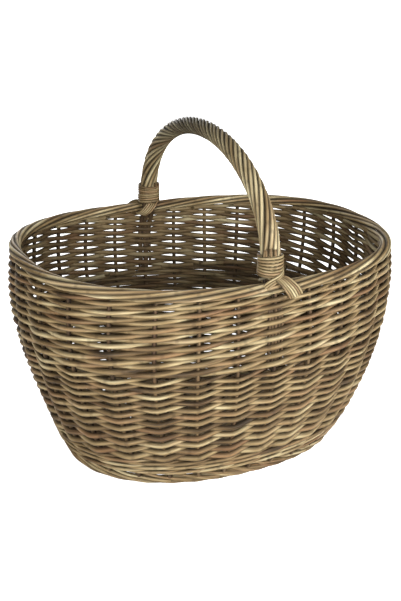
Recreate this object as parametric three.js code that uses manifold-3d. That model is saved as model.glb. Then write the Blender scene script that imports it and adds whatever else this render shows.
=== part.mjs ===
// Oval willow shopping basket with a fixed roped bow handle.
// Units are millimetres. +Z is up, X runs along the oval and the handle arches over it in the plane x = 0.
// The origin is the middle of the footprint, on the surface that the basket stands on.

import * as THREE from 'three';
import { mergeVertices } from 'three/addons/utils/BufferGeometryUtils.js';
import Module from 'manifold-3d';

const wasm = await Module();
wasm.setup();

// Clearances
const FIT_GAP = 0.3;
const SEAT_EASE = 1;

// Oval of the wall, measured over the outermost rods
const FOOT_HALF_LENGTH = 184;
const FOOT_HALF_WIDTH = 137;
const RIM_HALF_LENGTH = 238;
const RIM_HALF_WIDTH = 192;
const RIM_HEIGHT = 260;
const RIM_LIFT_AT_ENDS = 5;
const BELLY_LENGTH = 17.5;
const BELLY_WIDTH = 27;
const BELLY_HIGH_BIAS = 0.4;
const FOOT_SQUARENESS = 2.2;
const RIM_SQUARENESS = 2.4;

// Stakes
const STAKE_COUNT = 28;
const STAKE_DIAMETER = 5.5;
const STAKE_SIDES = 5;
const STAKE_STEPS = 6;
const SIDE_CROWDING = 0.06;
const BEARING_SAMPLES = 2800;
const BEARING_STEP = 0.001;

// Rods of the siding
const ROD_THICKNESS = 4.4;
const ROD_ROW_GAP = 0.45;
const ROD_BEND_ROOM = 0.3;
const ROD_SIDES = 4;

// Bands of the siding, as heights above the floor
const UPSETT_BOTTOM = 17;
const UPSETT_TOP = 44;
const UPSETT_ROWS = 3;
const UPSETT_EASE = 0.5;
const UPSETT_GROOVE = 1.5;
const LOWER_TOP = 162;
const LOWER_ROWS = 9;
const LOWER_TIGHTENING = 0.04;
const BINDING_ROD = 4;
const BINDING_SPACE = 6;
const UPPER_ROWS = 7;
const UPPER_TIGHTENING = 0.2;

// Border, foot and base
const BORDER_THICKNESS = 15;
const BORDER_RODS = 5;
const BORDER_ROD_RELIEF = 1.1;
const BORDER_TWISTS = 4;
const ROLL_STEPS_PER_STAKE = 2;
const FOOT_THICKNESS = 11;
const FOOT_SIDES = 6;
const BASE_THICKNESS = 5;
const BASE_CROWN = 6;
const BASE_HEIGHT = 15;
const BASE_SEAT_HEIGHT = 22;
const BASE_RINGS = 3;
const LONG_STICK_COUNT = 3;
const LONG_STICK_SPACING = 14;
const LONG_STICK_DIAMETER = 6;
const SHORT_STICK_COUNT = 7;
const SHORT_STICK_SPREAD = 0.75;
const SHORT_STICK_DIAMETER = 5;
const STICK_SIDES = 6;
const STICK_STEPS = 4;

// Bow handle
const BOW_INSET_FROM_RIM = 19.5;
const BOW_SPRING_ABOVE_RIM = 23;
const BOW_RISE = 120;
const BOW_CORE_DIAMETER = 12.5;
const BOW_SIDES = 8;
const BOW_LEG_BELOW_RIM = 94;
const BOW_ARCH_STEPS = 26;
const BOW_SEARCH_STEPS = 40;
const ROPING_RODS = 7;
const ROPING_ROD_RELIEF = 0.9;
const ROPING_RADIUS_AT_TOP = 10.4;
const ROPING_RADIUS_AT_FOOT = 12.2;
const ROPING_TURNS = 2.25;
const ROPING_STEPS = 22;
const ROPING_EASE = 0.6;

// Bindings at the handle's feet
const WRAP_ABOVE_RIM = 15;
const WRAP_TURNS = 6;
const WRAP_ROD_DIAMETER = 2.6;
const WRAP_PITCH = 4.2;
const WRAP_LEAST_GAP = 0.4;
const WRAP_STEPS_PER_TURN = 10;
const WRAP_SIDES = 4;
const LASHING_RODS = 4;
const LASHING_WIDTH = 9;
const LASHING_THICKNESS = 2.2;
const LASHING_GROOVE = 0.65;
const LASHING_BEVEL = 0.4;
const LASHING_STEPS = 8;
const LASHING_STANDOFF = 0.6;
const OUTER_LASHING = { startAngle: 104, endAngle: -30, startSide: -5, endSide: 25 };
const INNER_LASHING = { startAngle: 112, endAngle: 215, startSide: 14, endSide: 26 };

const UP = new THREE.Vector3(0, 0, 1);
const X_AXIS = new THREE.Vector3(1, 0, 0);

// Finishes
const willow = new THREE.MeshStandardMaterial({ color: 0xb59a6c, roughness: 0.62, metalness: 0 });
const darkWillow = new THREE.MeshStandardMaterial({ color: 0x7d6748, roughness: 0.7, metalness: 0 });
const paleWillow = new THREE.MeshStandardMaterial({ color: 0xd2bf94, roughness: 0.5, metalness: 0 });

// Joins rings of equal length into one closed body. Each ring turns anticlockwise about the way of travel.
function loft(rings, closed = false) {
  const sides = rings[0].length;
  const positions = rings.flat().flatMap((point) => [point.x, point.y, point.z]);
  const faces = [];
  const spans = closed ? rings.length : rings.length - 1;
  for (let i = 0; i < spans; i++) {
    const here = i * sides;
    const next = ((i + 1) % rings.length) * sides;
    for (let j = 0; j < sides; j++) {
      const k = (j + 1) % sides;
      faces.push(here + j, here + k, next + k, here + j, next + k, next + j);
    }
  }
  if (!closed) {
    const last = (rings.length - 1) * sides;
    for (let j = 1; j < sides - 1; j++) {
      faces.push(0, j + 1, j, last, last + j, last + j + 1);
    }
  }
  const geometry = new THREE.BufferGeometry();
  geometry.setAttribute('position', new THREE.Float32BufferAttribute(positions, 3));
  geometry.setIndex(faces);
  geometry.computeVertexNormals();
  return geometry;
}

// Section points as [along first axis, along outward axis], on a circle or an ellipse
function roundSection(radiusUp, radiusOut, sides, turn = 0) {
  return Array.from({ length: sides }, (unused, j) => {
    const angle = turn + (2 * Math.PI * j) / sides;
    return [radiusUp * Math.cos(angle), radiusOut * Math.sin(angle)];
  });
}

// Section of rods lying side by side round a core, as a ring of lobes
function lobedSection(radius, relief, lobes, turn, pointsPerLobe = 2) {
  const count = lobes * pointsPerLobe;
  return Array.from({ length: count }, (unused, j) => {
    const angle = turn + (2 * Math.PI * j) / count;
    const reach = radius - (j % pointsPerLobe === 0 ? 0 : relief);
    return [reach * Math.cos(angle), reach * Math.sin(angle)];
  });
}

// Sweeps sections along points. outward(i) gives the direction of the section's second axis.
function sweep(points, sectionAt, outward, closed = false) {
  const count = points.length;
  const rings = points.map((point, i) => {
    const before = points[closed ? (i + count - 1) % count : Math.max(i - 1, 0)];
    const after = points[closed ? (i + 1) % count : Math.min(i + 1, count - 1)];
    const along = after.clone().sub(before).normalize();
    const out = outward(i).clone();
    out.addScaledVector(along, -out.dot(along)).normalize();
    const side = out.clone().cross(along);
    return sectionAt(i).map(([a, b]) => point.clone().addScaledVector(side, a).addScaledVector(out, b));
  });
  return loft(rings, closed);
}

function toSolid(geometry) {
  const bare = geometry.clone();
  bare.deleteAttribute('normal');
  const merged = mergeVertices(bare, 1e-4);
  return new wasm.Manifold(new wasm.Mesh({
    numProp: 3,
    vertProperties: new Float32Array(merged.attributes.position.array),
    triVerts: new Uint32Array(merged.index.array),
  }));
}

function fromSolid(solid) {
  const mesh = solid.getMesh();
  const geometry = new THREE.BufferGeometry();
  geometry.setAttribute('position', new THREE.Float32BufferAttribute(mesh.vertProperties, 3));
  geometry.setIndex(Array.from(mesh.triVerts));
  geometry.computeVertexNormals();
  return geometry;
}

// The oval at a height: half axes over the outermost rods, and how square the oval is
function wallOval(height) {
  const rise = height / RIM_HEIGHT;
  const belly = 4 * rise * (1 - rise);
  const endBelly = belly * (1 - BELLY_HIGH_BIAS * (1 - 2 * rise));
  return {
    halfLength: THREE.MathUtils.lerp(FOOT_HALF_LENGTH, RIM_HALF_LENGTH, rise) + BELLY_LENGTH * endBelly,
    halfWidth: THREE.MathUtils.lerp(FOOT_HALF_WIDTH, RIM_HALF_WIDTH, rise) + BELLY_WIDTH * belly,
    squareness: THREE.MathUtils.lerp(FOOT_SQUARENESS, RIM_SQUARENESS, THREE.MathUtils.clamp(rise, 0, 1)),
  };
}

function ovalPoint(oval, bearing, inset) {
  const c = Math.abs(Math.cos(bearing)) / (oval.halfLength - inset);
  const s = Math.abs(Math.sin(bearing)) / (oval.halfWidth - inset);
  const reach = (c ** oval.squareness + s ** oval.squareness) ** (-1 / oval.squareness);
  return new THREE.Vector2(reach * Math.cos(bearing), reach * Math.sin(bearing));
}

// Half the thickness of the woven wall: half a stake, a gap and a whole rod
const ROD_OFFSET = STAKE_DIAMETER / 2 + FIT_GAP + ROD_BEND_ROOM + ROD_THICKNESS / 2;
const WALL_HALF_THICKNESS = ROD_OFFSET + ROD_THICKNESS / 2;

// Share of the oval's length at each sample of bearing. Stations are counted in stakes along that length.
const stationBearings = (() => {
  const oval = wallOval(RIM_HEIGHT / 2);
  const lengths = [0];
  for (let i = 1; i <= BEARING_SAMPLES; i++) {
    const before = ovalPoint(oval, (2 * Math.PI * (i - 1)) / BEARING_SAMPLES, WALL_HALF_THICKNESS);
    const here = ovalPoint(oval, (2 * Math.PI * i) / BEARING_SAMPLES, WALL_HALF_THICKNESS);
    lengths.push(lengths[i - 1] + here.distanceTo(before));
  }
  return lengths.map((length) => length / lengths[BEARING_SAMPLES]);
})();

// Bearing of a station: stakes stand a little closer together on the long sides
function bearingOf(station) {
  const turns = Math.floor(station / STAKE_COUNT);
  const share = station / STAKE_COUNT - turns;
  const crowded = share + (SIDE_CROWDING * Math.sin(4 * Math.PI * share)) / (4 * Math.PI);
  let low = 0;
  let high = BEARING_SAMPLES;
  while (high - low > 1) {
    const middle = (low + high) >> 1;
    if (stationBearings[middle] <= crowded) low = middle;
    else high = middle;
  }
  const part = (crowded - stationBearings[low]) / (stationBearings[high] - stationBearings[low]);
  return 2 * Math.PI * (turns + (low + part) / BEARING_SAMPLES);
}

// Horizontal direction out of the wall at a station
function wallOutward(station, height) {
  const oval = wallOval(height);
  const bearing = bearingOf(station);
  const ahead = ovalPoint(oval, bearing + BEARING_STEP, WALL_HALF_THICKNESS);
  const behind = ovalPoint(oval, bearing - BEARING_STEP, WALL_HALF_THICKNESS);
  return new THREE.Vector3(ahead.y - behind.y, behind.x - ahead.x, 0).normalize();
}

// A point of the wall: offset 0 is the layer of the stakes
function wallPoint(station, height, offset = 0) {
  const flat = ovalPoint(wallOval(height), bearingOf(station), WALL_HALF_THICKNESS);
  return new THREE.Vector3(flat.x, flat.y, height).addScaledVector(wallOutward(station, height), offset);
}

function rimHeight(station) {
  return RIM_HEIGHT + RIM_LIFT_AT_ENDS * Math.cos(bearingOf(station)) ** 2;
}

// Border and foot: rolled rods that run round the layer of the stakes
const rollStations = Array.from({ length: STAKE_COUNT * ROLL_STEPS_PER_STAKE }, (unused, i) => (
  i / ROLL_STEPS_PER_STAKE
));

function closedRoll(points, section, stations, height) {
  return sweep(points, section, (i) => wallOutward(stations[i], height), true);
}

function makeBorder() {
  const points = rollStations.map((station) => wallPoint(station, RIM_HEIGHT).setZ(rimHeight(station)));
  const turnPerStep = (2 * Math.PI * BORDER_TWISTS) / rollStations.length;
  const section = (i) => lobedSection(BORDER_THICKNESS / 2, BORDER_ROD_RELIEF, BORDER_RODS, i * turnPerStep);
  return closedRoll(points, section, rollStations, RIM_HEIGHT);
}

function makeFoot() {
  const radius = FOOT_THICKNESS / 2 / Math.cos(Math.PI / FOOT_SIDES);
  const points = rollStations.map((station) => wallPoint(station, FOOT_THICKNESS / 2));
  const section = roundSection(radius, radius, FOOT_SIDES, Math.PI / FOOT_SIDES);
  return closedRoll(points, () => section, rollStations, FOOT_THICKNESS / 2);
}

// Upsett: rows of waling as a ribbed band on one side of the stakes. side is 1 outside and -1 inside.
function upsettBand(side, top) {
  const rowHeight = (top - UPSETT_BOTTOM) / UPSETT_ROWS;
  const near = side * (STAKE_DIAMETER / 2 + FIT_GAP + UPSETT_EASE);
  const far = side * WALL_HALF_THICKNESS;
  const groove = side * (WALL_HALF_THICKNESS - UPSETT_GROOVE);
  const profile = [[UPSETT_BOTTOM, near]];
  for (let row = 0; row < UPSETT_ROWS; row++) {
    if (row > 0) profile.push([UPSETT_BOTTOM + row * rowHeight, groove]);
    profile.push([UPSETT_BOTTOM + (row + 0.5) * rowHeight, far]);
  }
  profile.push([top, near]);
  if (side < 0) profile.reverse();
  const rings = Array.from({ length: STAKE_COUNT }, (unused, station) => (
    profile.map(([height, offset]) => wallPoint(station, height, offset)).reverse()
  ));
  return loft(rings, true);
}

// One rod of the siding. It starts behind its own stake, passes in front of the next, and climbs as it goes.
function sidingRod(start, rows, heightAt) {
  const steps = rows * 2;
  const rings = [];
  for (let i = 0; i <= steps; i++) {
    const station = start + i;
    const height = heightAt(station, i / steps);
    const room = Math.min(
      i < steps ? heightAt(station, (i + 1) / steps) - height : Infinity,
      i > 0 ? height - heightAt(station, (i - 1) / steps) : Infinity,
    );
    const centre = wallPoint(station, height, i % 2 === 0 ? -ROD_OFFSET : ROD_OFFSET);
    const out = wallOutward(station, height);
    const section = roundSection((room - ROD_ROW_GAP) / 2, ROD_THICKNESS / 2, ROD_SIDES);
    rings.push(section.map(([a, b]) => centre.clone().addScaledVector(UP, a).addScaledVector(out, b)));
  }
  return loft(rings);
}

// A band of siding: one rod started at every stake, held together at its start by the row that it rises from
function makeSiding(rows, heightAt, startingRow) {
  const starts = Array.from({ length: STAKE_COUNT }, (unused, start) => start);
  const rods = starts.map((start) => toSolid(sidingRod(start, rows, heightAt)));
  return fromSolid(wasm.Manifold.union([toSolid(startingRow), ...rods]));
}

// Share of a band's height at a share of its rods' length: rows draw closer as the rods thin towards their tips
function climb(share, tightening) {
  return share * (1 + tightening - tightening * share);
}

const LOWER_BOTTOM = UPSETT_TOP + FIT_GAP + SEAT_EASE;
const UPPER_BOTTOM = LOWER_TOP + BINDING_SPACE + BINDING_ROD / 2;

function lowerHeight(station, share) {
  return LOWER_BOTTOM + (LOWER_TOP - LOWER_BOTTOM) * climb(share, LOWER_TIGHTENING);
}

function upperHeight(station, share) {
  const top = rimHeight(station) - BORDER_THICKNESS / 2 - FIT_GAP - ROD_THICKNESS / 2;
  return UPPER_BOTTOM + (top - UPPER_BOTTOM) * climb(share, UPPER_TIGHTENING);
}

function bindingRow() {
  const stations = Array.from({ length: STAKE_COUNT }, (unused, station) => station);
  const points = stations.map((station) => wallPoint(station, UPPER_BOTTOM - SEAT_EASE, -ROD_OFFSET));
  const section = roundSection(BINDING_ROD / 2, ROD_THICKNESS / 2, ROD_SIDES);
  return closedRoll(points, () => section, stations, UPPER_BOTTOM);
}

// A stake stands on the foot and rises in the middle layer of the wall to the underside of the border
function makeStake(station) {
  const bottom = FOOT_THICKNESS + FIT_GAP;
  const top = rimHeight(station) - BORDER_THICKNESS / 2 - FIT_GAP;
  const points = Array.from({ length: STAKE_STEPS + 1 }, (unused, i) => (
    wallPoint(station, THREE.MathUtils.lerp(bottom, top, i / STAKE_STEPS))
  ));
  const section = roundSection(STAKE_DIAMETER / 2, STAKE_DIAMETER / 2, STAKE_SIDES, Math.PI / 2);
  const out = wallOutward(station, RIM_HEIGHT / 2);
  return flattenEnds(sweep(points, () => section, () => out), bottom, top);
}

// Trims the tilt of a stake's end rings, so that both ends lie level
function flattenEnds(geometry, bottom, top) {
  const position = geometry.attributes.position;
  const count = position.count;
  for (let i = 0; i < STAKE_SIDES; i++) {
    position.setZ(i, bottom);
    position.setZ(count - 1 - i, top);
  }
  return geometry;
}

// Base: a woven oval panel, slightly crowned, between long sticks below and short sticks above
const BASE_EDGE_INSET = WALL_HALF_THICKNESS * 2 + FIT_GAP;
const baseOval = wallOval(BASE_SEAT_HEIGHT);
const BASE_HALF_LENGTH = baseOval.halfLength - BASE_EDGE_INSET;
const BASE_HALF_WIDTH = baseOval.halfWidth - BASE_EDGE_INSET;
const SHORT_STICK_SPACING = (2 * SHORT_STICK_SPREAD * BASE_HALF_LENGTH) / (SHORT_STICK_COUNT - 1);

function baseCrown(x, y) {
  const reach = (x / baseOval.halfLength) ** 2 + (y / baseOval.halfWidth) ** 2;
  return BASE_CROWN * (1 - Math.min(reach, 1));
}

function makeBaseWeave() {
  const ring = (share, top) => Array.from({ length: STAKE_COUNT }, (unused, station) => {
    const flat = ovalPoint(baseOval, bearingOf(station), BASE_EDGE_INSET).multiplyScalar(share);
    const height = BASE_HEIGHT + baseCrown(flat.x, flat.y) + (top ? BASE_THICKNESS : 0);
    return new THREE.Vector3(flat.x, flat.y, height);
  });
  const shares = Array.from({ length: BASE_RINGS }, (unused, i) => (i + 1) / BASE_RINGS);
  const under = shares.map((share) => ring(share, false));
  const over = shares.map((share) => ring(share, true)).reverse();
  const rings = [...under, ...over];
  return capWithFans(loft(rings), rings, BASE_HEIGHT + BASE_CROWN);
}

// Swaps the flat caps of a loft for fans that meet at the crown
function capWithFans(geometry, rings, crownHeight) {
  const sides = rings[0].length;
  const sideFaces = (rings.length - 1) * sides * 6;
  const middles = [0, 0, crownHeight, 0, 0, crownHeight + BASE_THICKNESS];
  const positions = [...geometry.attributes.position.array, ...middles];
  const faces = Array.from(geometry.index.array).slice(0, sideFaces);
  const low = rings.length * sides;
  const last = (rings.length - 1) * sides;
  for (let j = 0; j < sides; j++) {
    const k = (j + 1) % sides;
    faces.push(low, k, j, low + 1, last + j, last + k);
  }
  const capped = new THREE.BufferGeometry();
  capped.setAttribute('position', new THREE.Float32BufferAttribute(positions, 3));
  capped.setIndex(faces);
  capped.computeVertexNormals();
  return capped;
}

// A base stick follows the crown, below the panel (side -1) or above it (side 1)
function makeBaseStick(across, offset, diameter, side) {
  const along = across ? BASE_HALF_WIDTH : BASE_HALF_LENGTH;
  const sideways = across ? BASE_HALF_LENGTH : BASE_HALF_WIDTH;
  const narrowing = (1 - Math.abs(offset / sideways) ** baseOval.squareness) ** (1 / baseOval.squareness);
  const reach = along * narrowing - diameter;
  const face = side > 0 ? BASE_THICKNESS + FIT_GAP + diameter / 2 : -FIT_GAP - diameter / 2;
  const points = Array.from({ length: STICK_STEPS + 1 }, (unused, i) => {
    const run = reach * ((2 * i) / STICK_STEPS - 1);
    const [x, y] = across ? [offset, run] : [run, offset];
    return new THREE.Vector3(x, y, BASE_HEIGHT + baseCrown(x, y) + face);
  });
  const section = roundSection(diameter / 2, diameter / 2, STICK_SIDES);
  return sweep(points, () => section, () => UP);
}

// Centre line of the bow in the plane x = 0, from the foot of the leg at -Y, over the arch, to the other foot.
// Each leg runs down inside the wall and leans against the inside of the border.
const BOW_HALF_SPAN = RIM_HALF_WIDTH - BOW_INSET_FROM_RIM;
const BOW_SPRING_HEIGHT = RIM_HEIGHT + BOW_SPRING_ABOVE_RIM;
const BOW_LEG_BOTTOM = RIM_HEIGHT - BOW_LEG_BELOW_RIM;
const BOW_HALF_SPAN_AT_RIM = (
  RIM_HALF_WIDTH - WALL_HALF_THICKNESS - BORDER_THICKNESS / 2 - FIT_GAP - BOW_CORE_DIAMETER / 2
);

function legPoints(side) {
  const innerWall = wallOval(BOW_LEG_BOTTOM).halfWidth - 2 * WALL_HALF_THICKNESS;
  const toeSpan = innerWall - FIT_GAP - BOW_CORE_DIAMETER / 2 - SEAT_EASE;
  return [
    new THREE.Vector3(0, side * toeSpan, BOW_LEG_BOTTOM),
    new THREE.Vector3(0, side * BOW_HALF_SPAN_AT_RIM, RIM_HEIGHT - BORDER_THICKNESS),
    new THREE.Vector3(0, side * BOW_HALF_SPAN_AT_RIM, RIM_HEIGHT),
  ];
}

function archPoint(turn) {
  const height = BOW_SPRING_HEIGHT + BOW_RISE * Math.sin(turn);
  return new THREE.Vector3(0, -BOW_HALF_SPAN * Math.cos(turn), height);
}

// The bow above the border as a smooth curve, by share of its length from the foot at -Y to the foot at +Y
const bowCurve = new THREE.CatmullRomCurve3([
  ...legPoints(-1).slice(1),
  ...Array.from({ length: BOW_ARCH_STEPS + 1 }, (unused, i) => archPoint((Math.PI * i) / BOW_ARCH_STEPS)),
  ...legPoints(1).slice(1).reverse(),
]);
const bowLength = bowCurve.getLength();

function bowShareAtHeight(height) {
  let low = 0;
  let high = 0.5;
  for (let i = 0; i < BOW_SEARCH_STEPS; i++) {
    const middle = (low + high) / 2;
    if (bowCurve.getPointAt(middle).z < height) low = middle;
    else high = middle;
  }
  return low;
}

const wrapBottomShare = bowShareAtHeight(RIM_HEIGHT + WRAP_ABOVE_RIM);
const ropingShares = Array.from({ length: ROPING_STEPS + 1 }, (unused, i) => (
  THREE.MathUtils.lerp(wrapBottomShare, 1 - wrapBottomShare, i / ROPING_STEPS)
));

function makeBow() {
  const section = roundSection(BOW_CORE_DIAMETER / 2, BOW_CORE_DIAMETER / 2, BOW_SIDES);
  const arch = ropingShares.map((share) => bowCurve.getPointAt(share));
  const points = [...legPoints(-1), ...arch, ...legPoints(1).reverse()];
  return sweep(points, () => section, () => X_AXIS);
}

function ropingRadius(share) {
  const fromTop = Math.abs(2 * share - 1);
  return THREE.MathUtils.lerp(ROPING_RADIUS_AT_TOP, ROPING_RADIUS_AT_FOOT, fromTop ** 2);
}

// Roping: rods laid round the bow in a long twist, as one sleeve with a lobe for each rod
function makeRoping() {
  const boreRadius = (BOW_CORE_DIAMETER / 2 + ROPING_EASE) / Math.cos(Math.PI / (ROPING_RODS * 2));
  const outer = [];
  const inner = [];
  for (const [i, share] of ropingShares.entries()) {
    const along = bowCurve.getTangentAt(share);
    const out = X_AXIS.clone();
    const side = out.clone().cross(along);
    const centre = bowCurve.getPointAt(share);
    const turn = (2 * Math.PI * ROPING_TURNS * i) / ROPING_STEPS;
    const place = ([a, b]) => centre.clone().addScaledVector(side, a).addScaledVector(out, b);
    outer.push(lobedSection(ropingRadius(share), ROPING_ROD_RELIEF, ROPING_RODS, turn).map(place));
    inner.push(roundSection(boreRadius, boreRadius, ROPING_RODS * 2, turn).map(place));
  }
  return sleeve(outer, inner);
}

// A closed skin over outer rings, back through inner rings of the same count, open at both ends
function sleeve(outer, inner) {
  return loft([...outer, ...inner.reverse()], true);
}

// Wrap: one thin rod wound round the foot of the handle, clear of the roping also between its steps
const wrapFaceting = Math.cos(Math.PI / WRAP_STEPS_PER_TURN);
const wrapRadius = (ropingRadius(wrapBottomShare) + FIT_GAP + WRAP_ROD_DIAMETER / 2) / wrapFaceting;

function wrapPath(side) {
  const count = WRAP_TURNS * WRAP_STEPS_PER_TURN;
  const points = [];
  const outs = [];
  for (let i = 0; i <= count; i++) {
    const wound = i / WRAP_STEPS_PER_TURN;
    const share = wrapBottomShare + (WRAP_ROD_DIAMETER / 2 + wound * WRAP_PITCH) / bowLength;
    const placed = side < 0 ? share : 1 - share;
    const along = bowCurve.getTangentAt(placed);
    const sideways = X_AXIS.clone().cross(along);
    const angle = 2 * Math.PI * wound;
    const out = X_AXIS.clone().multiplyScalar(Math.cos(angle)).addScaledVector(sideways, Math.sin(angle));
    points.push(bowCurve.getPointAt(placed).addScaledVector(out, wrapRadius));
    outs.push(out);
  }
  return { points, outs };
}

// Least gap between points of the wrap that are at least half a turn apart
function leastTurnGap(points) {
  const halfTurn = WRAP_STEPS_PER_TURN / 2;
  const distances = points.flatMap((point, i) => (
    points.slice(i + halfTurn).map((other) => point.distanceTo(other))
  ));
  return Math.min(...distances) - WRAP_ROD_DIAMETER;
}

function makeWrap(side) {
  const { points, outs } = wrapPath(side);
  const leastGap = leastTurnGap(points);
  const foot = side < 0 ? 'near' : 'far';
  console.log(`wrap at the ${foot} foot: least gap between turns ${leastGap.toFixed(2)} mm`);
  if (leastGap < WRAP_LEAST_GAP) throw new Error('the turns of the wrap lie too close');
  const section = roundSection(WRAP_ROD_DIAMETER / 2, WRAP_ROD_DIAMETER / 2, WRAP_SIDES);
  return sweep(points, () => section, (i) => outs[i]);
}

// Lashing: a flat band of rods that binds the handle's foot to the border, at the given station.
// path gives its angles round the border, 0 facing out and 90 up, and how far beside the handle
// it starts and ends.
function makeLashing(station, path) {
  const spacing = wallPoint(station, RIM_HEIGHT).distanceTo(wallPoint(station + 1, RIM_HEIGHT));
  const radius = BORDER_THICKNESS / 2 + LASHING_STANDOFF + LASHING_THICKNESS / 2;
  const points = [];
  const outs = [];
  for (let i = 0; i <= LASHING_STEPS; i++) {
    const share = i / LASHING_STEPS;
    const angle = THREE.MathUtils.degToRad(THREE.MathUtils.lerp(path.startAngle, path.endAngle, share));
    const place = station + THREE.MathUtils.lerp(path.startSide, path.endSide, share) / spacing;
    const level = wallOutward(place, RIM_HEIGHT).multiplyScalar(Math.cos(angle));
    const out = level.addScaledVector(UP, Math.sin(angle));
    points.push(wallPoint(place, RIM_HEIGHT).setZ(rimHeight(place)).addScaledVector(out, radius));
    outs.push(out);
  }
  return sweep(points, () => bandSection(), (i) => outs[i]);
}

// Flat band of parallel rods: scalloped outside, plain inside
function bandSection() {
  const half = LASHING_WIDTH / 2;
  const face = LASHING_THICKNESS / 2;
  const rodWidth = LASHING_WIDTH / LASHING_RODS;
  const scallops = [];
  for (let rod = 0; rod < LASHING_RODS; rod++) {
    const left = -half + rod * rodWidth;
    if (rod > 0) scallops.push([left, face - LASHING_GROOVE]);
    scallops.push([left + rodWidth / 2, face]);
  }
  const underside = [[LASHING_BEVEL - half, -face], [half - LASHING_BEVEL, -face]];
  return [[half, 0], ...scallops.reverse(), [-half, 0], ...underside];
}

const basket = new THREE.Group();

function add(name, geometry, material) {
  const mesh = new THREE.Mesh(geometry, material);
  mesh.name = name;
  basket.add(mesh);
}

const twoDigits = (number) => String(number).padStart(2, '0');

add('foot_border', makeFoot(), darkWillow);
add('base_weave', makeBaseWeave(), willow);
for (let i = 0; i < LONG_STICK_COUNT; i++) {
  const offset = (i - (LONG_STICK_COUNT - 1) / 2) * LONG_STICK_SPACING;
  add(`base_long_stick_${i + 1}`, makeBaseStick(false, offset, LONG_STICK_DIAMETER, -1), darkWillow);
}
for (let i = 0; i < SHORT_STICK_COUNT; i++) {
  const offset = (i - (SHORT_STICK_COUNT - 1) / 2) * SHORT_STICK_SPACING;
  add(`base_short_stick_${i + 1}`, makeBaseStick(true, offset, SHORT_STICK_DIAMETER, 1), darkWillow);
}
for (let station = 0; station < STAKE_COUNT; station++) {
  add(`stake_${twoDigits(station + 1)}`, makeStake(station), darkWillow);
}
add('upsett_outer_wale', upsettBand(1, UPSETT_TOP), willow);
add('lower_siding', makeSiding(LOWER_ROWS, lowerHeight, upsettBand(-1, LOWER_BOTTOM + SEAT_EASE)), willow);
add('upper_siding', makeSiding(UPPER_ROWS, upperHeight, bindingRow()), willow);
add('border', makeBorder(), willow);
add('handle_bow', makeBow(), darkWillow);
add('handle_roping', makeRoping(), paleWillow);
for (const [name, side, station] of [['near', -1, 0.75 * STAKE_COUNT], ['far', 1, 0.25 * STAKE_COUNT]]) {
  add(`handle_wrap_${name}`, makeWrap(side), paleWillow);
  add(`handle_lashing_${name}_under`, makeLashing(station, INNER_LASHING), paleWillow);
  add(`handle_lashing_${name}_over`, makeLashing(station, OUTER_LASHING), paleWillow);
}

export default basket;
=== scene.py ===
"""Oval willow shopping basket with a fixed roped bow handle, woven rod by rod.

Sizes inside the classes are in millimetres and meshes are made in metres. Stations count the
stakes round the wall, from the end at +X past the far side.
"""

import logging
import math
import random
from dataclasses import dataclass, field
from enum import Enum

import bpy
import numpy as np
from mathutils import Matrix, Vector

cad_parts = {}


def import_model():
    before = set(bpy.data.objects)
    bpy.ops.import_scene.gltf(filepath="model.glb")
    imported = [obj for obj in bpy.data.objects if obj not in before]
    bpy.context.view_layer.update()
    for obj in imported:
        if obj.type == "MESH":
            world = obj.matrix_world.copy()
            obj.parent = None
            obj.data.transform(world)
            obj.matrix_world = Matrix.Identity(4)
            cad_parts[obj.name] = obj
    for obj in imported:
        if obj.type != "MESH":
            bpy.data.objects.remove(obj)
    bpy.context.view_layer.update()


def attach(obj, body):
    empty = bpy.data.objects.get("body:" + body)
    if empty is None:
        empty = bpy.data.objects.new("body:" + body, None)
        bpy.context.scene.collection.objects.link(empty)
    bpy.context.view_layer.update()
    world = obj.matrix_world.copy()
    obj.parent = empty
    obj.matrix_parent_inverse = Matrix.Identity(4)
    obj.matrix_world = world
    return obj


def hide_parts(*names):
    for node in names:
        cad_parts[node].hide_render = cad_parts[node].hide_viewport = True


LOG = logging.getLogger("basket")
MM = 0.001
Array = np.ndarray
Colour = tuple[float, float, float]
Range = tuple[float, float]
# Slow waves along the rods start anywhere in this range, in radians
PHASES: Range = (0.0, 6.0)


class Side(Enum):
    """The two feet of the bow handle."""

    NEAR = -1
    FAR = 1

    @property
    def station(self) -> float:
        """Station of the stake that the foot stands beside."""
        return 21.0 if self is Side.NEAR else 7.0


# Finishes


@dataclass(frozen=True)
class WillowFinish:
    """Colours and sheen of one sort of willow rod."""

    name: str
    slot: str
    shadow: Colour
    low: Colour
    middle: Colour
    high: Colour
    rust: Colour
    # Colour of the painted shade where rods touch, where they face the stakes and where they face
    # into the basket
    grime: Colour
    roughness: float = 0.5
    streaks: float = 0.35
    # Strength of that painted shade
    painted_shade_amount: float = 0.85
    specular: float = 0.3
    bump_strength: float = 0.35
    bump_distance: float = 0.0006


WEAVING_WILLOW = WillowFinish(
    name="weathered_willow",
    slot="willow",
    shadow=(0.032, 0.018, 0.006),
    low=(0.13, 0.078, 0.03),
    middle=(0.31, 0.218, 0.1),
    high=(0.68, 0.58, 0.34),
    rust=(0.26, 0.135, 0.06),
    grime=(0.014, 0.009, 0.0035),
)
STAKE_WILLOW = WillowFinish(
    name="brown_willow",
    slot="dark_willow",
    shadow=(0.022, 0.013, 0.006),
    low=(0.07, 0.042, 0.018),
    middle=(0.16, 0.1, 0.045),
    high=(0.34, 0.24, 0.13),
    rust=(0.12, 0.065, 0.034),
    grime=(0.012, 0.007, 0.003),
    roughness=0.55,
)
PALE_WILLOW = WillowFinish(
    name="pale_willow",
    slot="pale_willow",
    shadow=(0.06, 0.036, 0.015),
    low=(0.14, 0.092, 0.04),
    middle=(0.33, 0.245, 0.12),
    high=(0.6, 0.51, 0.3),
    rust=(0.3, 0.17, 0.08),
    grime=(0.02, 0.013, 0.006),
    roughness=0.42,
    streaks=0.3,
    painted_shade_amount=0.75,
)


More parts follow.
